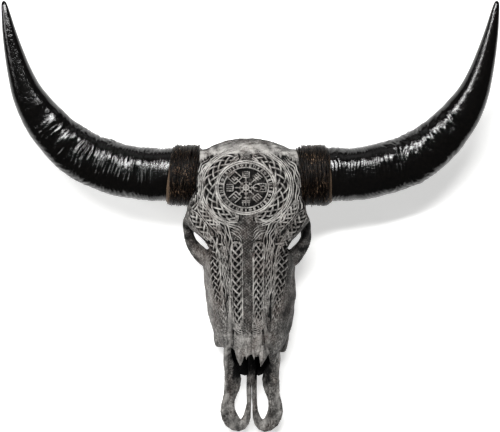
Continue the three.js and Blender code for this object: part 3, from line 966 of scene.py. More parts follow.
@dataclass
class Compass:
    """A wheel of eight unlike arms inside two rings, with plain marks between the rings."""

    bar: float = 0.95
    fine: float = 0.8
    places: int = 36
    arms: tuple[ArmEnd, ...] = (
        ArmEnd.RING,
        ArmEnd.ROD,
        ArmEnd.BOX,
        ArmEnd.DIAMOND,
        ArmEnd.COMB,
        ArmEnd.FORK,
        ArmEnd.BARS,
        ArmEnd.COMB,
    )

    def at(self, angle: float, out: float, across: float = 0.0) -> Pair:
        """Find a point of an arm.

        Args:
            angle: Direction of the arm.
            out: Way out along it.
            across: Way across it.

        Returns:
            Its x and y.
        """
        c, s = math.cos(angle), math.sin(angle)
        x, y = out * c - across * s, out * s + across * c
        flat = COMPASS_INNER[1] / COMPASS_INNER[0]
        return COMPASS_CENTRE[0] + x, COMPASS_CENTRE[1] + y * flat

    def line(self, *points: Pair, half: float | None = None, lift: float = -0.5) -> Cord:
        """Draw a straight-sided cord.

        Args:
            *points: Its corners.
            half: Half width, or nothing for the usual one.
            lift: Height over the face.

        Returns:
            The cord.
        """
        corners = np.array(points)
        pieces = []
        for first, second in zip(corners, corners[1:]):
            count = max(2, round(np.linalg.norm(second - first) / 1.6) + 1)
            pieces.append(np.linspace(first, second, count))
        plan = np.vstack(pieces)
        return Cord(plan, np.full(len(plan), lift), np.full(len(plan), half or self.bar))

    def ring(self, reach: Pair, half: float, lift: float, middle: Pair = COMPASS_CENTRE) -> Cord:
        """Draw a closed ellipse.

        Args:
            reach: Half its length and half its height.
            half: Half width of the cord.
            lift: Height over the face.
            middle: Its centre.

        Returns:
            The cord.
        """
        t = np.linspace(0, 2 * math.pi, max(14, round(reach[0] * 3.2)))
        plan = np.column_stack([middle[0] + reach[0] * np.cos(t), middle[1] + reach[1] * np.sin(t)])
        return Cord(plan, np.full(len(t), lift), np.full(len(t), half))

    def end(self, kind: ArmEnd, angle: float) -> list[Cord]:
        """Cords of one arm's end.

        Args:
            kind: What the arm ends in.
            angle: Direction of the arm.

        Returns:
            The cords.
        """
        at = partial(self.at, angle)
        if kind is ArmEnd.BOX:
            frame_line = self.line(at(30, 5.4), at(19.5, 5.4), at(19.5, -5.4), at(30, -5.4))
            return [frame_line] + [self.line(at(r, -3.6), at(r, 3.6)) for r in (23, 26.5, 30)]
        if kind is ArmEnd.ROD:
            return [self.line(at(r, -w), at(r, w)) for r, w in ((21, 3.6), (25, 5.2), (29, 6), (33, 6))]
        if kind is ArmEnd.RING:
            box = self.line(at(20, 7.5), at(34, 7.5), at(34, -7.5), at(20, -7.5))
            arc = self.ring((6.5, 6.0), self.bar, -0.5, self.at(angle, 19))
            return [box, arc, self.ring((3.4, 3.1), self.bar, -0.5, self.at(angle, 29))]
        if kind is ArmEnd.BARS:
            feet = [self.line(at(28, w), at(34, w)) for w in (-5, 0, 5)]
            return feet + [self.line(at(r, -w), at(r, w)) for r, w in ((12, 3), (19, 4), (25, 7), (28, 7))]
        if kind is ArmEnd.FORK:
            prongs = [self.line(at(17, w), at(34, w)) for w in (-7, 7)]
            return prongs + [self.line(at(r, -w), at(r, w)) for r, w in ((17, 7), (22.5, 7), (27, 3))]
        if kind is ArmEnd.DIAMOND:
            box = self.line(at(18.5, 8.5), at(35, 8.5), at(35, -8.5), at(18.5, -8.5), at(18.5, 8.5))
            hook = self.line(at(23.5, -4.2), at(23.5, 4.2), at(30.5, 4.2))
            return [box, hook, self.line(at(30.5, -4.2), at(26.5, -4.2)), self.line(at(18, 0), at(31, 0))]
        teeth = [self.line(at(22, w), at(33, w)) for w in (-6, -2, 2, 6)]
        return teeth + [self.line(at(22, -6), at(22, 6))]

    def cords(self) -> list[Cord]:
        """Rings, hub, arms and marks.

        Returns:
            The cords.
        """
        made = [
            self.ring(COMPASS_RIM, 1.35, 0.1),
            self.ring((COMPASS_RIM[0] - 3.2, COMPASS_RIM[1] - 3.1), 0.9, -0.3),
            self.ring(COMPASS_INNER, 1.05, -0.2),
            self.ring((4.6, 4.3), 1.2, 0.2),
            self.ring((1.5, 1.4), 1.0, 0.2),
        ]
        for i, kind in enumerate(self.arms):
            angle = math.radians(45 * i)
            reach = 34 if kind in (ArmEnd.ROD, ArmEnd.BARS) else 19
            made.append(self.line(self.at(angle, 5.5), self.at(angle, reach), half=1.0))
            made.append(self.line(self.at(angle, 9.5, -3), self.at(angle, 11, 0), self.at(angle, 9.5, 3)))
            made.extend(self.end(kind, angle))
        return made + self.marks()

    def marks(self) -> list[Cord]:
        """Plain bars, pairs, lozenges and dots all round between the rings, in a repeating order.

        Returns:
            The cords.
        """
        made = []
        inner, outer = COMPASS_INNER[0] + 2.0, COMPASS_RIM[0] - 5.4
        middle = (inner + outer) / 2
        for i in range(self.places):
            angle = 2 * math.pi * i / self.places
            kind = i % 6
            if kind in (0, 3):
                made.append(self.line(self.at(angle, inner), self.at(angle, outer)))
            elif kind == 1:
                for across in (-1.6, 1.6):
                    ends = [self.at(angle, out, across) for out in (inner, outer)]
                    made.append(self.line(*ends, half=self.fine))
            elif kind == 4:
                first, last = inner + 0.6, outer - 0.6
                corners = ((first, 0), (middle, 2.3), (last, 0), (middle, -2.3), (first, 0))
                made.append(self.line(*[self.at(angle, *corner) for corner in corners], half=self.fine))
            else:
                for out in (inner + 1.0, outer - 1.0):
                    made.append(self.ring((1.3, 1.2), self.fine, -0.5, self.at(angle, out)))
        return made

    def sunk(self, plan: np.ndarray) -> np.ndarray:
        """How deep the wheel's ground lies, with deeper spots between the arms that look pierced.

        Args:
            plan: Points as x and y rows.

        Returns:
            Millimetres, one per point.
        """
        own = (plan - np.array(COMPASS_CENTRE)) / np.array(COMPASS_RIM)
        far = np.linalg.norm(own, axis=1)
        disc = 1 - smooth_step(0.93, 0.985, far)
        spots = 0.5 + 0.5 * np.sin(waves(plan, 26, 3, 2) * 3)
        inside = 1 - smooth_step(0.68, 0.74, far)
        return disc * (2.5 + inside * (0.1 + 3.6 * smooth_step(0.3, 0.7, spots)))


@dataclass
class Carving:
    """Everything cut into the face of the skull."""

    bands: list[Band] = field(default_factory=list)
    streams: list[Stream] = field(default_factory=list)
    knots: list[Knot] = field(default_factory=list)
    compass: Compass = field(default_factory=Compass)

    def lay_out(self) -> None:
        """Set the bands, streams and knots on the skull."""
        self.wreath()
        self.columns()
        self.brows()
        self.flows()

    def wreath(self) -> None:
        """Two crescents of four-strand plait round the compass, parted by the hatched strip."""
        middle = (np.array(WREATH_INNER) + np.array(WREATH_OUTER)) / 2
        room = np.array(WREATH_OUTER) - np.array(WREATH_INNER)
        for sign, first, last in ((-1, 102, 258), (1, 80, -76)):
            route = []
            for angle in np.linspace(first, last, 13):
                c, s = math.cos(math.radians(angle)), math.sin(math.radians(angle))
                wide = math.hypot(room[0] * c, room[1] * s) / 2
                reach = 4.5 if angle in (first, last) else wide
                route.append((COMPASS_CENTRE[0] + middle[0] * c, COMPASS_CENTRE[1] + middle[1] * s, reach))
            self.bands.append(Band(route, 4, 66, 6.5, cord=1.45, start=0.4 * sign))
            for k, out in enumerate((3.4, 6.8)):
                reach = np.array(WREATH_OUTER) + np.array((out, out * 0.9))
                angles = np.radians(np.linspace(first, last, 22))
                ring = COMPASS_CENTRE + reach * np.column_stack([np.cos(angles), np.sin(angles)])
                self.streams.append(Stream(ring, 1, 2, 0.45, 26, 0.95 - 0.1 * k, seed=90 + k, depth=1.2))

    def columns(self) -> None:
        """Plaits down both nasal bones and both cheeks, and the thin twists between them."""
        nasal_right = [
            (-22, -44, 3),
            (-22.5, -54, 9),
            (-22.3, -100, 9),
            (-21.5, -150, 8),
            (-20.5, -180, 6.6),
            (-20, -194, 2),
        ]
        nasal_left = [
            (14, -44, 3),
            (14.5, -54, 9),
            (14.8, -100, 8.8),
            (14.8, -150, 8.2),
            (14.6, -176, 6.5),
            (14, -190, 2),
        ]
        self.bands.append(Band(nasal_right, 3, 40, 5.5, cord=1.5, start=0.8))
        self.bands.append(Band(nasal_left, 4, 50, 5.5, cord=1.3, start=0.2))
        cheek_right = [
            (-76, -28, 3),
            (-71, -44, 8.5),
            (-61.5, -70, 8.6),
            (-60.5, -92, 8.8),
            (-59, -114, 8.2),
            (-55.5, -136, 6.8),
            (-49.5, -157, 5.4),
            (-44.6, -177, 4.4),
            (-42.5, -196, 1.6),
        ]
        cheek_left = [
            (68, -28, 3),
            (63, -46, 9.5),
            (56, -67, 10.8),
            (55, -89, 11),
            (52.5, -111, 9.6),
            (49.5, -135, 7.6),
            (45.5, -157, 6.0),
            (42, -181, 5.2),
            (38.5, -205, 1.6),
        ]
        self.bands.append(Band(cheek_right, 4, 46, 4.6, cord=1.2))
        self.bands.append(Band(cheek_left, 4, 52, 4.6, cord=1.3, start=0.7))
        twists = (
            [(-46, -52, 2), (-44, -62, 3.4), (-41, -89, 3.8), (-36.5, -114, 3.4), (-34.5, -140, 1.4)],
            [(35, -52, 2), (34, -62, 3.8), (31.5, -99, 4.2), (30, -130, 3.8), (29, -160, 1.4)],
        )
        for route in twists:
            self.bands.append(Band(route, 2, 26, 3.8, cord=1.1, swing=0.7, rail=0.8))

    def brows(self) -> None:
        """Loose knots and short plaits over the eye sockets."""
        for sign in (-1, 1):
            x = partial(from_midline, sign)
            socket = [(x(99), 9, 3), (x(93), 0, 7.5), (x(83.5), -14, 9), (x(73), -29, 7.6), (x(66), -41, 3)]
            self.bands.append(Band(socket, 3, 33, 5.6, cord=1.75, start=0.5 * sign, rail=0.9))
            temple = [(x(84), 28, 2), (x(79), 14, 6.5), (x(68), -1, 7.6), (x(56), -15, 7), (x(48), -30, 3)]
            self.bands.append(Band(temple, 3, 29, 5.2, cord=1.55, start=1.2, rail=0.8))
            self.knots.append(Knot((x(56), -44), (6, 9.5), sign * -0.6, (3, 2), 0.9, 1.2, 3.4))
            self.knots.append(Knot((x(91), 20), (5.5, 8), sign * 0.4, (1, 2), 0.2, 1.2, 3.0))

    def flows(self) -> None:
        """Wavy ridges round the wreath and down to the nose."""
        for sign in (-1, 1):
            x = partial(from_midline, sign)
            seed = 11 + sign
            sides = [(x(62), 98), (x(78), 82), (x(85), 60), (x(87), 40), (x(84), 22)]
            inner = [(x(66), 10), (x(56), -4), (x(43), -14), (x(35), -28), (x(32), -44), (x(33), -66)]
            middle = [(x(49), -22), (x(43), -36), (x(41), -52), (x(43), -72)]
            outer = [(x(53), -52), (x(51), -66), (x(47), -86), (x(44), -110), (x(40), -140)]
            self.streams.append(Stream(sides, 3, 4.0, 1.1, 24, seed=seed))
            self.streams.append(Stream(inner, 3, 4.2, 1.1, 28, seed=seed + 3))
            self.streams.append(Stream(middle, 2, 4.2, 1.2, 20, seed=seed + 5))
            self.streams.append(Stream(outer, 2, 4.2, 1.0, 22, 0.85, seed=seed + 7, depth=1.6))
            for k in range(4):
                leaf = [
                    (x(9.5), -46 + 7 * k),
                    (x(14 - 0.6 * k), -38 + 5.6 * k),
                    (x(22 - 1.6 * k), -31 + 4.5 * k),
                    (x(31 - 3 * k), -27 + 3.6 * k),
                ]
                self.streams.append(Stream(leaf, 1, 3, 0.5, 18, 0.85, seed=seed + 20 + k, depth=1.6))
            feather = [(x(29), -182), (x(24), -192), (x(15), -198), (x(7), -197)]
            for k in range(5):
                lower = [(a, b - 3.2 * k + 10) for a, b in feather]
                self.streams.append(Stream(lower, 1, 3, 0.5, 14, 0.9, seed=seed + 40 + k, depth=1.4))
            seam = [(x(31), -140), (x(29.5), -175), (x(29), -206), (x(28), -222)]
            self.streams.append(Stream(seam, 2, 2.4, 0.4, 30, 0.7, seed=seed + 60, depth=2.2))
            rail = [(x(9.4), -62), (x(9.2), -120), (x(8.6), -196)]
            self.streams.append(Stream(rail, 1, 2, 0.3, 40, 0.8, seed=seed + 70, depth=0.5))

    def parts(self) -> list[Band | Stream | Knot | Compass]:
        """All the carved motifs."""
        return [*self.bands, *self.streams, *self.knots, self.compass]

    def all_cords(self) -> list[Cord]:
        """Cords of every motif, rails included."""
        made = [cord for part in self.parts() for cord in part.cords()]
        return made + [cord for band in self.bands for cord in band.rails()]

    def depth(self, plan: np.ndarray) -> np.ndarray:
        """How deep the ground is cut at points of the plan."""
        return np.max([part.sunk(plan) for part in self.parts()], axis=0)

    def filigree(self, plan: np.ndarray) -> np.ndarray:
        """Where fine winding lines fill the ground between the motifs.

        Args:
            plan: Points as x and y rows.

        Returns:
            Strength of the lines, 0 to 1.
        """
        x, y = plan.T
        places, widths = (-205, -170, -140, -60, -35, 0, 30, 90, 108), (34, 44, 58, 70, 76, 92, 94, 88, 62)
        half = np.interp(y, places, widths)
        side = 1 - smooth_step(half - 6, half + 3, np.abs(x - CARVING_MIDLINE))
        length = smooth_step(-208, -196, y) * (1 - smooth_step(100, 110, y))
        wheel = smooth_step(0.99, 1.02, out_from_wheel(x, y, COMPASS_RIM))
        return side * length * wheel * (1 - self.hatch(plan))

    def hatch(self, plan: np.ndarray) -> np.ndarray:
        """Where the cross-hatched strip runs.

        Args:
            plan: Points as x and y rows.

        Returns:
            Strength of the hatching, 0 to 1.
        """
        x, y = plan.T
        half = np.interp(y, [-200, -60, -45, -20, 0, 100, 112], [7.4, 8.2, 20, 26, 9, 8.6, 7])
        own = out_from_wheel(x, y, COMPASS_RIM)
        strip = 1 - smooth_step(half - 1, half + 1, np.abs(x - CARVING_MIDLINE))
        length = smooth_step(-203, -198, y) * (1 - smooth_step(108, 114, y))
        return strip * length * smooth_step(0.98, 1.02, own)


def cord_section() -> bpy.types.Object:
    """Profile of a carved cord: rounded on top, square at its foot, one unit to each side.

    Returns:
        The profile, which is taken away again when the cords are swept.
    """
    half = ((1, -1.6), (1, -0.1), (0.82, 0.42), (0.45, 0.72))
    outline = half + tuple((-x, y) for x, y in reversed(half))
    data = bpy.data.curves.new("cord_section", "CURVE")
    data.dimensions = "2D"
    line = data.splines.new("POLY")
    line.points.add(len(outline) - 1)
    line.use_cyclic_u = True
    for point, (x, y) in zip(line.points, outline):
        point.co = (x * MM, y * MM, 0, 1)
    made = bpy.data.objects.new("cord_section", data)
    bpy.context.scene.collection.objects.link(made)
    return made


def swept(
    name: str,
    ways: list[np.ndarray],
    radii: list[np.ndarray],
    section: bpy.types.Object | None = None,
    sides: int = 1,
) -> bpy.types.Mesh:
    """Sweep a section along many ways at once.

    Args:
        name: Name of the mesh.
        ways: Points of each way, one row each, in millimetres.
        radii: Size of the section at each point, in millimetres.
        section: Profile object, or none for a round section.
        sides: Bevel resolution of a round section.

    Returns:
        The swept mesh.
    """
    data = bpy.data.curves.new(name, "CURVE")
    data.dimensions = "3D"
    data.twist_mode = "Z_UP" if section else "MINIMUM"
    data.use_fill_caps = True
    if section:
        data.bevel_mode = "OBJECT"
        data.bevel_object = section
    else:
        data.bevel_depth = MM
        data.bevel_resolution = sides
    for way, radius in zip(ways, radii):
        line = data.splines.new("POLY")
        line.points.add(len(way) - 1)
        flat = np.column_stack([(way[:, :3] + SHIFT) * MM, np.ones(len(way))])
        line.points.foreach_set("co", flat.ravel())
        line.points.foreach_set("radius", radius)
        if way.shape[1] > 3:
            line.points.foreach_set("tilt", way[:, 3])
        line.use_smooth = True
    holder = bpy.data.objects.new(name + "_line", data)
    bpy.context.scene.collection.objects.link(holder)
    mesh = bpy.data.meshes.new_from_object(holder.evaluated_get(bpy.context.evaluated_depsgraph_get()))
    bpy.data.objects.remove(holder)
    return mesh


@dataclass
class Ridge:
    """A smooth rise, or with a height below zero a furrow, along a way over the bone."""

    route: tuple[Pair, ...]
    height: float
    width: float

    def raised(self, plan: np.ndarray) -> np.ndarray:
        """How much it lifts the bone.

        Args:
            plan: Points as x and y rows.

        Returns:
            Millimetres, one per point.
        """
        lifted = np.zeros(len(plan))
        near, gaps = gaps_to(spaced(np.array(self.route), COARSE_STEP), plan)
        lifted[near] = self.height * np.exp(-((gaps / self.width) ** 2))
        return lifted


@dataclass
class Skull:
    """The bones: one carved face of several bones, and the plain ones round the mouth."""

    carving: Carving
    material: bpy.types.Material
    voxel: float = 2.5
    muzzle_voxel: float = 1.6
    seam: float = 0.3
    low: Pair = (-124, -268)
    high: Pair = (124, 140)
    step: float = 2.0
    filling_step: float = 4.5
    filling_depth: float = 10.0
    filling_rim: float = 1.07
    blade_lines: tuple[Ridge, ...] = (
        Ridge(((-34, -112), (-34.5, -140), (-33.5, -165), (-33, -190), (-35, -212), (-38, -234)), 2.0, 4.2),
        Ridge(((31, -140), (28, -165), (26, -185), (28, -202), (31, -218), (36, -236)), 1.6, 4.2),
    )
    furrows: tuple[Ridge, ...] = (
        Ridge(((3, -200), (3, -220), (3, -240)), -1.2, 1.8),
        Ridge(((-27.5, -186), (-29, -205), (-30, -222), (-30.5, -240)), -1.6, 1.8),
        Ridge(((21, -180), (22.5, -200), (25.5, -220), (28.5, -244)), -1.6, 1.8),
    )
    muzzle_edges: tuple[Ridge, ...] = (
        Ridge(((-44, -236), (-44, -290), (-43, -318), (-47, -345)), 1.5, 3.4),
        Ridge(((-34, -240), (-35, -290), (-33, -315)), -1.6, 3.4),
        Ridge(((50, -236), (50, -290), (49, -318), (53, -345)), 1.5, 3.4),
        Ridge(((40, -240), (41, -290), (39, -315)), -1.6, 3.4),
    )
    # Each row is x, y, the height of the blade's top and its half width.
    blades: tuple[tuple[tuple[float, ...], ...], ...] = (
        (
            (28, -165, 133.5, 1.8),
            (26, -185, 129.0, 3.0),
            (28, -202, 124.6, 3.8),
            (31, -218, 118.6, 4.6),
            (36, -234, 107.0, 5.0),
            (37.5, -241, 96.5, 5.2),
            (38.5, -248, 87.0, 5.2),
            (39.8, -256, 79.0, 5.2),
            (41.5, -266, 71.5, 5.0),
            (43.5, -281, 61.5, 4.4),
            (45, -300, 50.0, 3.4),
        ),
        (
            (-34.5, -140, 135.0, 1.8),
            (-33.5, -165, 130.0, 2.8),
            (-33, -190, 123.0, 3.8),
            (-35, -212, 113.4, 4.6),
            (-37.5, -230, 102.5, 5.0),
            (-38.5, -240, 93.5, 5.2),
            (-39, -250, 84.0, 5.2),
            (-39.5, -262, 73.5, 5.0),
            (-40.5, -282, 60.5, 4.6),
            (-42, -302, 49.0, 3.4),
        ),
    )
    # Each row is x and y of the root, x and y of the point, and the half width.
    prongs: tuple[tuple[float, ...], ...] = (
        (-17.5, -222, -15.5, -256, 3.6),
        (-6.5, -222, -6.0, -247, 2.6),
        (6.0, -222, 7.0, -246, 3.0),
        (21, -222, 18.5, -259, 3.8),
    )
    face_nodes: tuple[str, ...] = (
        "cranium",
        "maxilla_left",
        "maxilla_right",
        "nasal_left",
        "nasal_right",
        "zygomatic_left",
        "zygomatic_right",
    )

    def ridges(self) -> tuple[Ridge, ...]:
        """Every rise and furrow of the plain bone."""
        return (*self.blade_lines, *self.furrows, *self.muzzle_edges)

    def build(self) -> None:
        """Make every bone."""
        shell = joined_nodes(self.face_nodes, self.seam)
        self.fill_beds(shell)
        face = remeshed("skull_face", shell, self.voxel)
        relax(face.data, 12)
        self.weather(face.data)
        corners, faces = face.data.vertices, face.data.polygons
        tree = BVHTree.FromPolygons([corner.co for corner in corners], [around.vertices for around in faces])
        ground = Ground(tree, self.low, self.high, self.step)
        self.refine(face.data, ground)
        self.carve(face.data, ground)
        finish_piece(face, self.material, "bone", *self.face_nodes)
        self.add_cords(ground)
        self.add_prongs(ground)
        for name, blade in zip(("premaxilla_left", "premaxilla_right", "vomer"), (*self.blades, None)):
            shell = joined_nodes([name])
            if blade:
                self.add_blade(shell, blade)
            bone = remeshed(name + "_bone", shell, self.muzzle_voxel)
            relax(bone.data, 8)
            self.weather(bone.data, 0.6)
            self.muzzle_shade_and_light(bone.data, name)
            finish_piece(bone, self.material, "bone", name)

    def fill_beds(self, shell: bmesh.types.BMesh) -> None:
        """Make the forehead whole over the beds that the solid already has, since they are cut anew here.

        Args:
            shell: The bones, which get the filling.
        """
        window = np.array(SOLID_BED) + 2 * self.filling_step
        low, high = COMPASS_CENTRE - window, COMPASS_CENTRE + window
        top = Ground(BVHTree.FromBMesh(shell), tuple(low), tuple(high), self.filling_step)
        x, y = top.grid()
        strip = (np.abs(x - COMPASS_CENTRE[0]) < STRIP_HALF) & (out_from_wheel(x, y, STRIP_START) > 1)
        top.bridge((out_from_wheel(x, y, SOLID_BED) < 1) & ~strip)
        plug = bmesh.new()
        last = [count - 1 for count in top.heights.shape]
        bmesh.ops.create_grid(plug, x_segments=last[0], y_segments=last[1], size=0.5)
        for vertex in plug.verts:
            i, j = (round((vertex.co[k] + 0.5) * last[k]) for k in (0, 1))
            dip = 6 * smooth_step(1.0, 1.06, out_from_wheel(x[i, j], y[i, j], SOLID_BED))
            vertex.co = (np.array([x[i, j], y[i, j], top.heights[i, j] - dip]) + SHIFT) * MM
        places = [(vertex, np.array(vertex.co)[:2] / MM - SHIFT[:2]) for vertex in plug.verts]
        beyond = [vertex for vertex, place in places if out_from_wheel(*place, SOLID_BED) > self.filling_rim]
        bmesh.ops.delete(plug, geom=beyond, context="VERTS")
        copied = bmesh.ops.extrude_face_region(plug, geom=list(plug.faces), use_keep_orig=True)["geom"]
        lower = [made for made in copied if isinstance(made, bmesh.types.BMVert)]
        bmesh.ops.translate(plug, verts=lower, vec=(0, 0, -self.filling_depth * MM))
        bmesh.ops.recalc_face_normals(plug, faces=plug.faces)
        copy = bpy.data.meshes.new("forehead_filling")
        plug.to_mesh(copy)
        plug.free()
        shell.from_mesh(copy)
        bpy.data.meshes.remove(copy)

    def add_blade(self, shell: bmesh.types.BMesh, blade: tuple[tuple[float, ...], ...]) -> None:
        """Run a bone of the muzzle on as a thin blade over the cheek bone behind it.

        Args:
            shell: The bone, which gets the blade.
            blade: The blade's way: x, y, height of its top and half width.
        """
        way = spaced(np.array(blade), 2.0)
        top, half = way[:, 2], way[:, 3]
        mesh = swept("blade", [np.column_stack([way[:, :2], top - half])], [half], None, 3)
        shell.from_mesh(mesh)
        bpy.data.meshes.remove(mesh)

    def weather(self, mesh: bpy.types.Mesh, share: float = 1.0) -> None:
        """Give plain bone its slow unevenness, fine ridges along its length and the ridges of the muzzle.

        Args:
            mesh: Mesh to move.
            share: Strength.
        """
        points = coordinates(mesh)
        normals = normals_of(mesh)
        swell = 0.7 * waves(points, 60, 21, 2) + 0.3 * waves(points * np.array([1, 0.25, 1]), 7, 22, 2)
        flat = smooth_step(2.5, 8, points[:, 2])
        upward = smooth_step(0.2, 0.6, normals[:, 2])
        swell = swell * share + sum(ridge.raised(points[:, :2]) for ridge in self.ridges()) * upward
        place_vertices(mesh, points + normals * (swell * flat)[:, None])

    def muzzle_shade_and_light(self, mesh: bpy.types.Mesh, name: str) -> None:
        """Paint shade on the bones round the nose hole where it falls on them, and paint their lit edges and
        tips paler.

        Args:
            mesh: One of these bones.
            name: Its CAD node.
        """
        points = coordinates(mesh)
        x, y, z = points.T
        # Painted shade: the inner sides next to the nose hole, below their tops, are darkened, and the vomer
        # inside it more so towards the back.
        inner = 1 - smooth_step(30, 37, np.abs(x - MUZZLE_MIDLINE) + 2 * waves(points, 20, 3))
        deep = 1.3 * smooth_step(-298, -270, y + 5 * waves(points, 26, 4)) * inner
        deep *= 1 - smooth_step(80, 88, z)
        if name == "vomer":
            deep = 0.6 + 0.6 * smooth_step(-285, -262, y)
        # Uneven tone, painted a little darker on the right side, which lies in shade.
        mottled = 0.38 + 0.06 * (x > MUZZLE_MIDLINE) + 0.22 * waves(points * np.array([1, 0.4, 1]), 16, 5, 4)
        store(mesh, "stain_and_shade", np.clip(np.maximum(deep, mottled), 0, 1.3))
        # Painted highlight: the front tips, the raised outer edges and the left side, where the light falls,
        # are painted paler, and the furrows beside the edges less so.
        tip = smooth_step(-340, -362, y)
        tip = tip + 0.8 * smooth_step(-300, -312, y) * (np.abs(x - MUZZLE_MIDLINE) < 12)
        blade = 0.3 * sum(ridge.raised(points[:, :2]) for ridge in self.muzzle_edges)
        blade = blade + 0.42 * smooth_step(-275, -235, y) * (x < MUZZLE_MIDLINE)
        store(mesh, "polish_and_highlight", np.clip(0.05 + 0.2 * tip + blade + 0.22 * waves(points, 14, 9), 0, 0.7))

    def refine(self, mesh: bpy.types.Mesh, ground: Ground) -> None:
        """Split the faces of the carved ground once, so that its walls stay crisp.

        Args:
            mesh: Mesh to refine.
            ground: Heights of the uncarved face.
        """
        points = coordinates(mesh)
        cut = self.carving.depth(points[:, :2]) > 0.8
        top = points[:, 2] > ground.height(points[:, :2]) - 3
        chosen = cut & top
        shape = bmesh.new()
        shape.from_mesh(mesh)
        shape.verts.ensure_lookup_table()
        edges = [e for e in shape.edges if chosen[e.verts[0].index] and chosen[e.verts[1].index]]
        bmesh.ops.subdivide_edges(shape, edges=edges, cuts=1, use_grid_fill=True)
        shape.to_mesh(mesh)
        shape.free()

    def carve(self, mesh: bpy.types.Mesh, ground: Ground) -> None:
        """Sink the carved ground and note how dark each point is.

        Args:
            mesh: Mesh to carve.
            ground: Heights of the uncarved face.
        """
        points = coordinates(mesh)
        plan = points[:, :2]
        normals = ground.normal(plan)
        own = normals_of(mesh)
        below = ground.height(plan) - points[:, 2]
        top = (1 - smooth_step(2.0, 5.0, below)) * smooth_step(0.15, 0.4, own[:, 2])
        depth = self.carving.depth(plan) * top
        hatch = self.carving.hatch(plan) * top
        moved = points - normals * depth[:, None]
        place_vertices(mesh, moved)
        # Wax, dirt and painted shade: each place is as dark as the darkest of these makes it. Wax lies in the
        # carved recesses, and dirt is the uneven tone, darker over the carved area. Painted shade darkens the
        # nose cavity and the palate seen inside it, faces that turn downwards, the zygomatic arches, the
        # right cheek and the right side, the furrows and the back edge of the crown.
        wear_and_rim_light = 0.95 + 0.2 * waves(points, 24, 55)
        deep = np.clip((depth - 0.4) / 2.2, 0, 1.25) * wear_and_rim_light
        x, y, z = points.T
        inside = smooth_step(5, 16, below) * smooth_step(-150, -175, y) * (np.abs(x) < 52)
        under = smooth_step(0.2, -0.5, own[:, 2]) * 0.35
        arch = smooth_step(80, 90, np.abs(x - CARVING_MIDLINE)) * (1 - smooth_step(-2, 10, y)) * (z < 140)
        arch *= (0.76 + 0.14 * np.sign(x)) + 0.3 * waves(points, 26, 35, 4)
        palate = smooth_step(64, 54, z) * smooth_step(-206, -216, y) * (np.abs(x - MUZZLE_MIDLINE) < 48) * 1.3
        cheek = smooth_step(50, 62, x) * smooth_step(-40, -70, y) * 0.18
        carved = 0.14 * smooth_step(100, 90, y) * smooth_step(-206, -196, y)
        grime_and_shade = 0.17 + 0.1 * smooth_step(10, 60, x) + carved + cheek + 0.16 * waves(points, 34, 37, 4)
        furrow = -0.6 * sum(np.minimum(ridge.raised(plan), 0) for ridge in self.ridges()) * top
        behind = (0.6 + 0.2 * waves(points, 16, 39)) * (1 - smooth_step(0.3, 0.8, own[:, 2]))
        behind *= smooth_step(92, 104, y)
        stain_and_shade = np.maximum.reduce([deep, 0.2 * hatch, inside, under, arch, palate, furrow, behind, grime_and_shade])
        # Painted highlight, and rubbing by hands: the crown and the left side, where the light falls, and the
        # tops of the blade lines are painted paler, and the nose is rubbed pale; none of it on the back edge
        # of the crown, which lies in painted shade.
        crown = smooth_step(100, 113, y + 0.1 * np.abs(x)) * (1 - smooth_step(122, 130, y)) * top
        nose = (1 - smooth_step(-205, -198, y)) * top * (np.abs(x - MUZZLE_MIDLINE) < 32)
        blade = sum(ridge.raised(plan) for ridge in self.blade_lines) / 2.4 * top
        left = smooth_step(-60, -72, x) * smooth_step(-60, -110, y) * top
        glow = (0.75 * crown + 0.3 * nose + 0.5 * blade + 0.45 * left) * (0.75 + 0.5 * waves(points, 18, 31))
        glow *= 1 - behind
        store(mesh, "stain_and_shade", np.clip(stain_and_shade, 0, 1.3))
        store(mesh, "hatch", hatch)
        store(mesh, "filigree", self.carving.filigree(plan) * top * (1 - smooth_step(1.5, 3.5, depth)))
        store(mesh, "polish_and_highlight", np.clip(glow, 0, 1))
        shade_smooth(mesh)

    def add_cords(self, ground: Ground) -> None:
        """Sweep all the carved cords over the ground.

        Args:
            ground: Heights of the uncarved face.
        """
        section = cord_section()
        mesh = self.sweep_over(ground, "carved_cords", self.carving.all_cords(), section)
        bpy.data.objects.remove(section)
        piece = new_object("carved_cords", mesh)
        points = coordinates(mesh)
        below = ground.height(points[:, :2]) - points[:, 2]
        store(mesh, "stain_and_shade", np.clip((below - 1.1) / 2.6, 0.05, 1.2))
        store(mesh, "hatch", np.zeros(len(points)))
        x, y = points[:, 0], points[:, 1]
        # Painted highlight: the tops of the cords are painted paler, less so on the right side, towards the
        # nose, inside the wheel and the lower a cord lies.
        lit = 0.88 - 0.3 * smooth_step(0, 60, x) * smooth_step(20, -30, y) - 0.2 * smooth_step(30, -60, y)
        lit -= 0.36 * (out_from_wheel(x, y, COMPASS_RIM) < 0.9)
        shine = np.clip(lit - below * 0.36, 0, 0.9) * (0.75 + 0.45 * waves(points, 20, 33))
        store(mesh, "polish_and_highlight", np.clip(shine, 0, 1))
        finish_piece(piece, self.material, "bone")

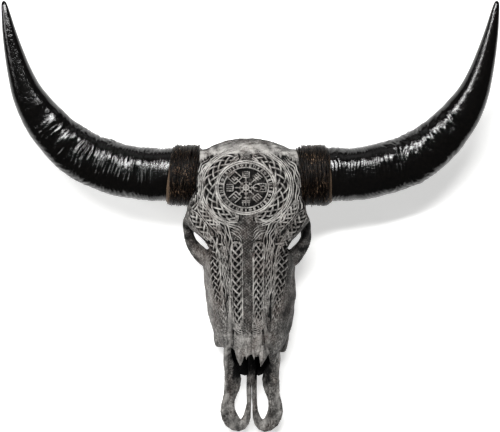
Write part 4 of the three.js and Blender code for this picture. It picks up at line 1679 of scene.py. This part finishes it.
    def add_prongs(self, ground: Ground) -> None:
        """Draw the tips of the nasal bones out to points, two long and two short.

        Args:
            ground: Heights of the uncarved face.
        """
        ways, radii = [], []
        for x0, y0, x1, y1, half in self.prongs:
            t = np.linspace(0, 1, 16)
            plan = np.column_stack([x0 + (x1 - x0) * t, y0 + (y1 - y0) * t])
            start = ground.height(np.array([[x0, NASAL_TIPS]]))[0]
            height = start - half * 0.75 - 0.16 * (NASAL_TIPS - plan[:, 1]).clip(0)
            ways.append(np.column_stack([plan, height]))
            radii.append(half * np.clip((1 - t) * 2.2, 0.08, 1) ** 0.8)
        piece = new_object("nasal_prongs", swept("nasal_prongs", ways, radii, None, 3))
        points = coordinates(piece.data)
        store(piece.data, "stain_and_shade", np.clip(0.22 + 0.2 * waves(points, 12, 51), 0, 1))
        store(piece.data, "polish_and_highlight", np.clip(0.3 + 0.2 * waves(points, 9, 52), 0, 1))
        finish_piece(piece, self.material, "bone")

    def kept_off_edges(self, ground: Ground, cord: Cord) -> list[Cord]:
        """Cut out the stretches of a cord that would fall over the rim of an eye socket.

        Args:
            ground: Heights of the uncarved face.
            cord: The whole cord.

        Returns:
            What is left of it, in one or more pieces.
        """
        steep = np.hypot(*(ground.look_up(slope, cord.plan) for slope in ground.slopes))
        held = (ground.height(cord.plan) > LOWEST_CARVING) & (steep < STEEPEST_CARVING)
        runs = np.split(np.arange(len(held)), np.flatnonzero(np.diff(held)) + 1)
        kept = [run for run in runs if held[run[0]] and len(run) > 3]
        return [Cord(cord.plan[run], cord.lift[run], cord.half[run]) for run in kept]

    def sweep_over(
        self, ground: Ground, name: str, cords: list[Cord], section: bpy.types.Object
    ) -> bpy.types.Mesh:
        """Lay cords over the ground, each turned so that it lies flat on it.

        Args:
            ground: Heights of the uncarved face.
            name: Name of the mesh.
            cords: Cords to lay.
            section: Their profile.

        Returns:
            The mesh of all of them.
        """
        ways, radii = [], []
        for cord in (piece for whole in cords for piece in self.kept_off_edges(ground, whole)):
            normal = ground.normal(cord.plan)
            base = np.column_stack([cord.plan, ground.height(cord.plan)])
            way = base + normal * (cord.lift - 0.72 * cord.half)[:, None]
            run = np.gradient(way, axis=0)
            run /= np.maximum(np.linalg.norm(run, axis=1, keepdims=True), 1e-9)
            side = np.cross(run, np.array([0, 0, 1.0]))
            side /= np.maximum(np.linalg.norm(side, axis=1, keepdims=True), 1e-9)
            up = np.cross(side, run)
            tilt = np.arctan2((normal * side).sum(1), (normal * up).sum(1))
            ways.append(np.column_stack([way, tilt]))
            radii.append(cord.half)
        return swept(name, ways, radii, section)


@dataclass
class Horn:
    """One horn, re-made finer than its CAD solid from the same stations."""

    side: int
    name: str
    material: bpy.types.Material
    shift: float = 0.6
    rings: int = 420
    around: int = 72
    length: float = 520.0
    wrinkle: float = 6.2
    broad_ring: float = 10.5
    # Each row is the middle of a section as x, y and z, then its half width and half height.
    stations: tuple[tuple[float, ...], ...] = (
        (91.3, 71, 122, 43, 34),
        (112, 71, 121.5, 43.5, 34.5),
        (140, 71.5, 121, 47, 36.5),
        (172, 72, 120, 46.5, 36),
        (208, 76, 119, 46, 35),
        (246, 86.5, 119, 46, 34),
        (281, 101, 121, 44.5, 33),
        (312, 121.5, 124, 42, 31.5),
        (338.5, 147, 128, 38, 29.5),
        (361, 175.5, 133, 33.5, 27),
        (380, 208.5, 139, 27, 23.5),
        (392.5, 243, 145, 21.2, 19.5),
        (402, 278, 151, 16.5, 15.5),
        (409.5, 312, 157, 12, 11.5),
        (415, 344, 162, 7.6, 7.4),
        (417.4, 358, 164, 5.2, 5.0),
        (418, 363.4, 164.9, 3.2, 3.0),
        (418.1, 365, 165.2, 0.8, 0.8),
    )

    def build(self) -> None:
        """Roll a grid up into the horn, then raise its growth rings."""
        shape = bmesh.new()
        bmesh.ops.create_grid(shape, x_segments=self.around, y_segments=self.rings, size=0.5)
        mesh = bpy.data.meshes.new(self.name)
        grid = np.array([vertex.co for vertex in shape.verts]) + 0.5
        points, ring, angle = self.roll(grid[:, 0], grid[:, 1])
        for vertex, point in zip(shape.verts, (points + SHIFT) * MM):
            vertex.co = point
        tag = shape.verts.layers.float.new("rim")
        for vertex, value in zip(shape.verts, self.rim(ring, angle)):
            vertex[tag] = value
        bmesh.ops.remove_doubles(shape, verts=shape.verts, dist=2e-5)
        bmesh.ops.recalc_face_normals(shape, faces=shape.faces)
        shape.to_mesh(mesh)
        shape.free()
        piece = new_object(f"polished_{self.name}", mesh)
        finish_piece(piece, self.material, "horn", self.name)

    def roll(self, around: np.ndarray, along: np.ndarray) -> tuple[np.ndarray, np.ndarray, np.ndarray]:
        """Place the points of the flat grid on the horn.

        Args:
            around: Share of the way round, 0 to 1.
            along: Share of the way along, 0 at the root and 1 at the tip.

        Returns:
            The points, their way along and their angle round the section.
        """
        rows = spaced(np.array(self.stations), 1.3)
        caps = np.clip((along * (self.rings + 1) - 1) / (self.rings - 1), 0, 1)
        place = caps * (len(rows) - 1)
        rows = np.column_stack([rows, np.gradient(rows[:, :3], axis=0)])
        read = np.column_stack([np.interp(place, np.arange(len(rows)), column) for column in rows.T])
        centre, half, ahead = read[:, :3], read[:, 3:5], read[:, 5:]
        ahead /= np.linalg.norm(ahead, axis=1, keepdims=True)
        across = np.cross(np.array([0, 0, 1.0]), ahead)
        across /= np.linalg.norm(across, axis=1, keepdims=True)
        upward = np.cross(ahead, across)
        angle = 2 * math.pi * around
        c, s = np.cos(angle), np.sin(angle)
        power = 2 / np.where(s >= 0, 2.5, 1.9)
        bend = self.growth(caps, angle)
        wide = half[:, 0] * np.sign(c) * np.abs(c) ** power
        high = half[:, 1] * np.sign(s) * np.abs(s) ** power
        size = np.hypot(wide, high)
        scale = 1 + bend / np.maximum(size, 4)
        end = (along <= 1e-6) | (along >= 1 - 1e-6)
        scale = np.where(end, 0, scale)
        points = centre + across * (wide * scale)[:, None] + upward * (high * scale)[:, None]
        points[:, 0] = points[:, 0] * self.side + self.shift
        return points, caps, angle

    def growth(self, along: np.ndarray, angle: np.ndarray) -> np.ndarray:
        """Height of the growth rings, crowded and sharp near the root, wider in the middle, none at the tip.

        Args:
            along: Share of the way along, 0 at the root and 1 at the tip.
            angle: Angle round the section.

        Returns:
            Millimetres, one per point.
        """
        way = along * self.length
        lean = 9 * np.sin(angle - 0.5) * smooth_step(0, 0.3, along) + 2.5 * np.sin(2 * angle + along * 9)
        own = np.column_stack([way / 40, np.cos(angle), np.sin(angle)])
        place = way + lean + 6.5 * waves(own, 2.2, 41 + self.side, 3)
        saw = (place / self.wrinkle) % 1
        tight = np.where(saw < 0.7, saw / 0.7, (1 - saw) / 0.3) - 0.5
        wave = (place / self.broad_ring + 0.4 * waves(own, 1.4, 43 + self.side)) % 1
        broad = np.where(wave < 0.72, wave / 0.72, (1 - wave) / 0.28) - 0.5
        front = 0.4 + 0.6 * smooth_step(-0.7, 0.5, np.sin(angle))
        near = (1 - smooth_step(0.28, 0.45, along)) * smooth_step(0.01, 0.05, along)
        middle = smooth_step(0.24, 0.36, along) * (1 - 0.5 * smooth_step(0.4, 0.5, along))
        middle *= 1 - smooth_step(0.5, 0.62, along)
        uneven = 0.55 + 0.6 * waves(own, 1.2, 49 + self.side) ** 2
        close = np.column_stack([way / 7, 3 * np.cos(angle), 3 * np.sin(angle)])
        rough = 0.3 * waves(close, 3.0, 47 + self.side)
        swell = 0.7 * waves(own * np.array([2.2, 1, 1]), 2.4, 53 + self.side, 2)
        fade = 1 - smooth_step(0.45, 0.75, along)
        rings = 1.1 * near * tight + 1.5 * middle * broad * uneven
        return (rings + (rough + swell) * fade) * front - 1.1 * fade

    def rim(self, along: np.ndarray, angle: np.ndarray) -> np.ndarray:
        """Where the horn is painted greyer for light bounced onto it, and made duller: along its outer edge,
        and less so at its tip.
        """
        edge = 0.35 * np.exp(-(((np.cos(angle) + 1.0) / 0.16) ** 2))
        return edge * (1 - 0.6 * smooth_step(0.6, 0.8, along))


@dataclass
class Lashing:
    """Many turns of coarse fibre wound over the joint between bone and horn."""

    side: int
    name: str
    start: float
    lean: float
    material: bpy.types.Material
    shift: float = 0.0
    outer: float = 137.0
    half: Pair = (44.0, 35.5)
    thick: float = 6.0
    sunk: float = 1.2
    voxel: float = 2.4
    groove: float = 3.9
    strands: int = 40
    loose: int = 45
    carried: float = 0.5
    stand_off: float = 3.6

    def __post_init__(self) -> None:
        """Work out how far a turn leans over its own height."""
        self.slant = math.tan(math.radians(self.lean))

    def build(self) -> None:
        """Wind the strands and let a few ends stand off."""
        core = remeshed(f"{self.name}_core", joined_nodes([self.name]), self.voxel)
        relax(core.data, 6)
        points = coordinates(core.data)
        grooves = 0.8 * np.sin(points[:, 0] * 2 * math.pi / self.groove) - 1.6
        points += normals_of(core.data) * grooves[:, None]
        reach = np.clip((np.abs(points[:, 0] - self.shift) - self.start) / (self.outer - self.start), 0, 1)
        points[:, 0] -= self.side * (points[:, 1] - HORN_AXIS[0]) * self.slant * self.carried * reach
        place_vertices(core.data, points)
        finish_piece(core, self.material, "fibre", self.name)
        draw = np.random.default_rng(SEED + self.side)
        ways, radii = [], []
        for k in range(self.strands):
            out = (k + 0.5) / self.strands
            turns = draw.uniform(1.1, 2.0)
            ways.append(self.turn(draw, out, turns, draw.uniform(0.0, 2.4)))
            radii.append(np.full(len(ways[-1]), draw.uniform(0.9, 1.9)))
        for _ in range(self.loose):
            way = self.turn(draw, draw.uniform(0, 1), draw.uniform(0.06, 0.25), 2.0, True)
            ways.append(way)
            radii.append(np.linspace(0.55, 0.2, len(way)))
        mesh = swept(self.name + "_strands", ways, radii, None, 1)
        piece = new_object(f"{self.name}_strands", mesh)
        reach = np.abs(coordinates(mesh)[:, 0] - self.shift)
        store(mesh, "bare", 0.5 * smooth_step(self.outer - 1.8, self.outer + 1.6, reach))
        finish_piece(piece, self.material, "fibre")

    def turn(
        self, draw: np.random.Generator, out: float, turns: float, layer: float, loose: bool = False
    ) -> np.ndarray:
        """Way of one strand round the horn.

        Args:
            draw: Random source.
            out: Share of the way from the skull to the outer edge of the lashing.
            turns: How many times it goes round.
            layer: How far it lies over the core.
            loose: Whether its ends lift off.

        Returns:
            The points of the strand.
        """
        whole = 2 * math.pi
        angle = draw.uniform(0, whole) + np.linspace(0, whole * turns, max(8, int(64 * turns)))
        t = np.linspace(0, 1, len(angle))
        sway = 2.0 * np.sin(angle * draw.uniform(0.8, 2.2) + draw.uniform(0, 6))
        sway += 0.6 * np.sin(angle * 7 + draw.uniform(0, 6))
        lift = layer + 0.5 * np.sin(angle * draw.uniform(2, 5))
        if loose:
            lift += self.stand_off * (t - 0.5) ** 2 * 4 * draw.uniform(0.2, 1)
        c, s = np.cos(angle), np.sin(angle)
        power = 2 / np.where(s >= 0, 2.4, 1.95)
        end = np.clip(np.minimum(out, 1 - out) / 0.12, 0, 1)
        half, up = (size + self.thick * end + lift - self.sunk for size in self.half)
        y = half * np.sign(c) * np.abs(c) ** power
        z = up * np.sign(s) * np.abs(s) ** power
        slant = self.slant * (1 - (1 - self.carried) * out)
        x = self.start + out * (self.outer - self.start) + sway * 0.8 - y * slant
        x = np.clip(x, self.start - 9 - y * slant, self.outer + 0.8 - y * slant)
        return np.column_stack([x * self.side + self.shift, y + HORN_AXIS[0], z + HORN_AXIS[1]])


@dataclass
class Studio:
    """Floor, soft lights and the camera straight above."""

    key: float = 88.0
    ambient: float = 0.07
    sensor: float = 36.0

    def build(self) -> None:
        """Make the floor, the lights and the camera."""
        shape = bmesh.new()
        bmesh.ops.create_grid(shape, x_segments=2, y_segments=2, size=6.0)
        mesh = bpy.data.meshes.new("floor")
        shape.to_mesh(mesh)
        shape.free()
        floor = new_object("floor", mesh)
        floor.data.materials.append(OpalTable().build())
        self.light("top_strip", (-0.25, 0.98, 2.6), (0, 0.05, 0.1), (1.7, 0.26), self.key)
        self.light("left_soft", (-2.0, 0.4, 1.9), (0, 0, 0.1), (0.7, 0.8), self.key * 0.22)
        self.light("back_soft", (0.0, 2.5, 1.5), (0, 0.1, 0.1), (3.4, 1.0), self.key * 0.07)
        world = bpy.data.worlds.new("studio")
        world.use_nodes = True
        sky = world.node_tree.nodes["Background"]
        sky.inputs["Color"].default_value = (1, 1, 1, 1)
        sky.inputs["Strength"].default_value = self.ambient
        bpy.context.scene.world = world
        bpy.context.scene.view_settings.view_transform = "Standard"
        self.camera()

    def light(self, name: str, place: Triple, aim: Triple, size: Pair, power: float) -> None:
        """Hang one soft box.

        Args:
            name: Name of the light.
            place: Where it hangs, in metres.
            aim: Point it faces, in metres.
            size: Width and depth in metres.
            power: Power in watts.
        """
        data = bpy.data.lights.new(name, "AREA")
        data.shape = "RECTANGLE"
        data.size, data.size_y = size
        data.energy = power
        made = bpy.data.objects.new(name, data)
        made.location = place
        made.rotation_euler = (Vector(aim) - Vector(place)).to_track_quat("-Z", "Y").to_euler()
        bpy.context.scene.collection.objects.link(made)

    def camera(self) -> None:
        """Set the long lens that looks straight down on the face."""
        data = bpy.data.cameras.new("camera")
        data.sensor_width = self.sensor
        data.lens = self.sensor * (CAMERA_HEIGHT - FOCUS_HEIGHT) / PHOTO_WIDTH
        data.clip_end = 50.0
        made = bpy.data.objects.new("camera", data)
        made.matrix_world = Matrix.Translation((SHIFT[0] * MM, SHIFT[1] * MM, CAMERA_HEIGHT * MM))
        bpy.context.scene.collection.objects.link(made)
        bpy.context.scene.camera = made


def main() -> None:
    """Build the studio and every piece."""
    logging.basicConfig(level=logging.INFO, format="%(name)s: %(message)s")
    Studio().build()
    carving = Carving()
    carving.lay_out()
    bone = AgedBone().build()
    Skull(carving, bone).build()
    horn = PolishedHorn().build()
    fibre = PalmFibre().build()
    Horn(1, "horn_left", horn).build()
    Horn(-1, "horn_right", horn).build()
    Lashing(1, "lashing_left", 86, 6, fibre, shift=-0.5).build()
    Lashing(-1, "lashing_right", 92, 12, fibre, shift=-0.5).build()


if __name__ == "__main__":
    main()
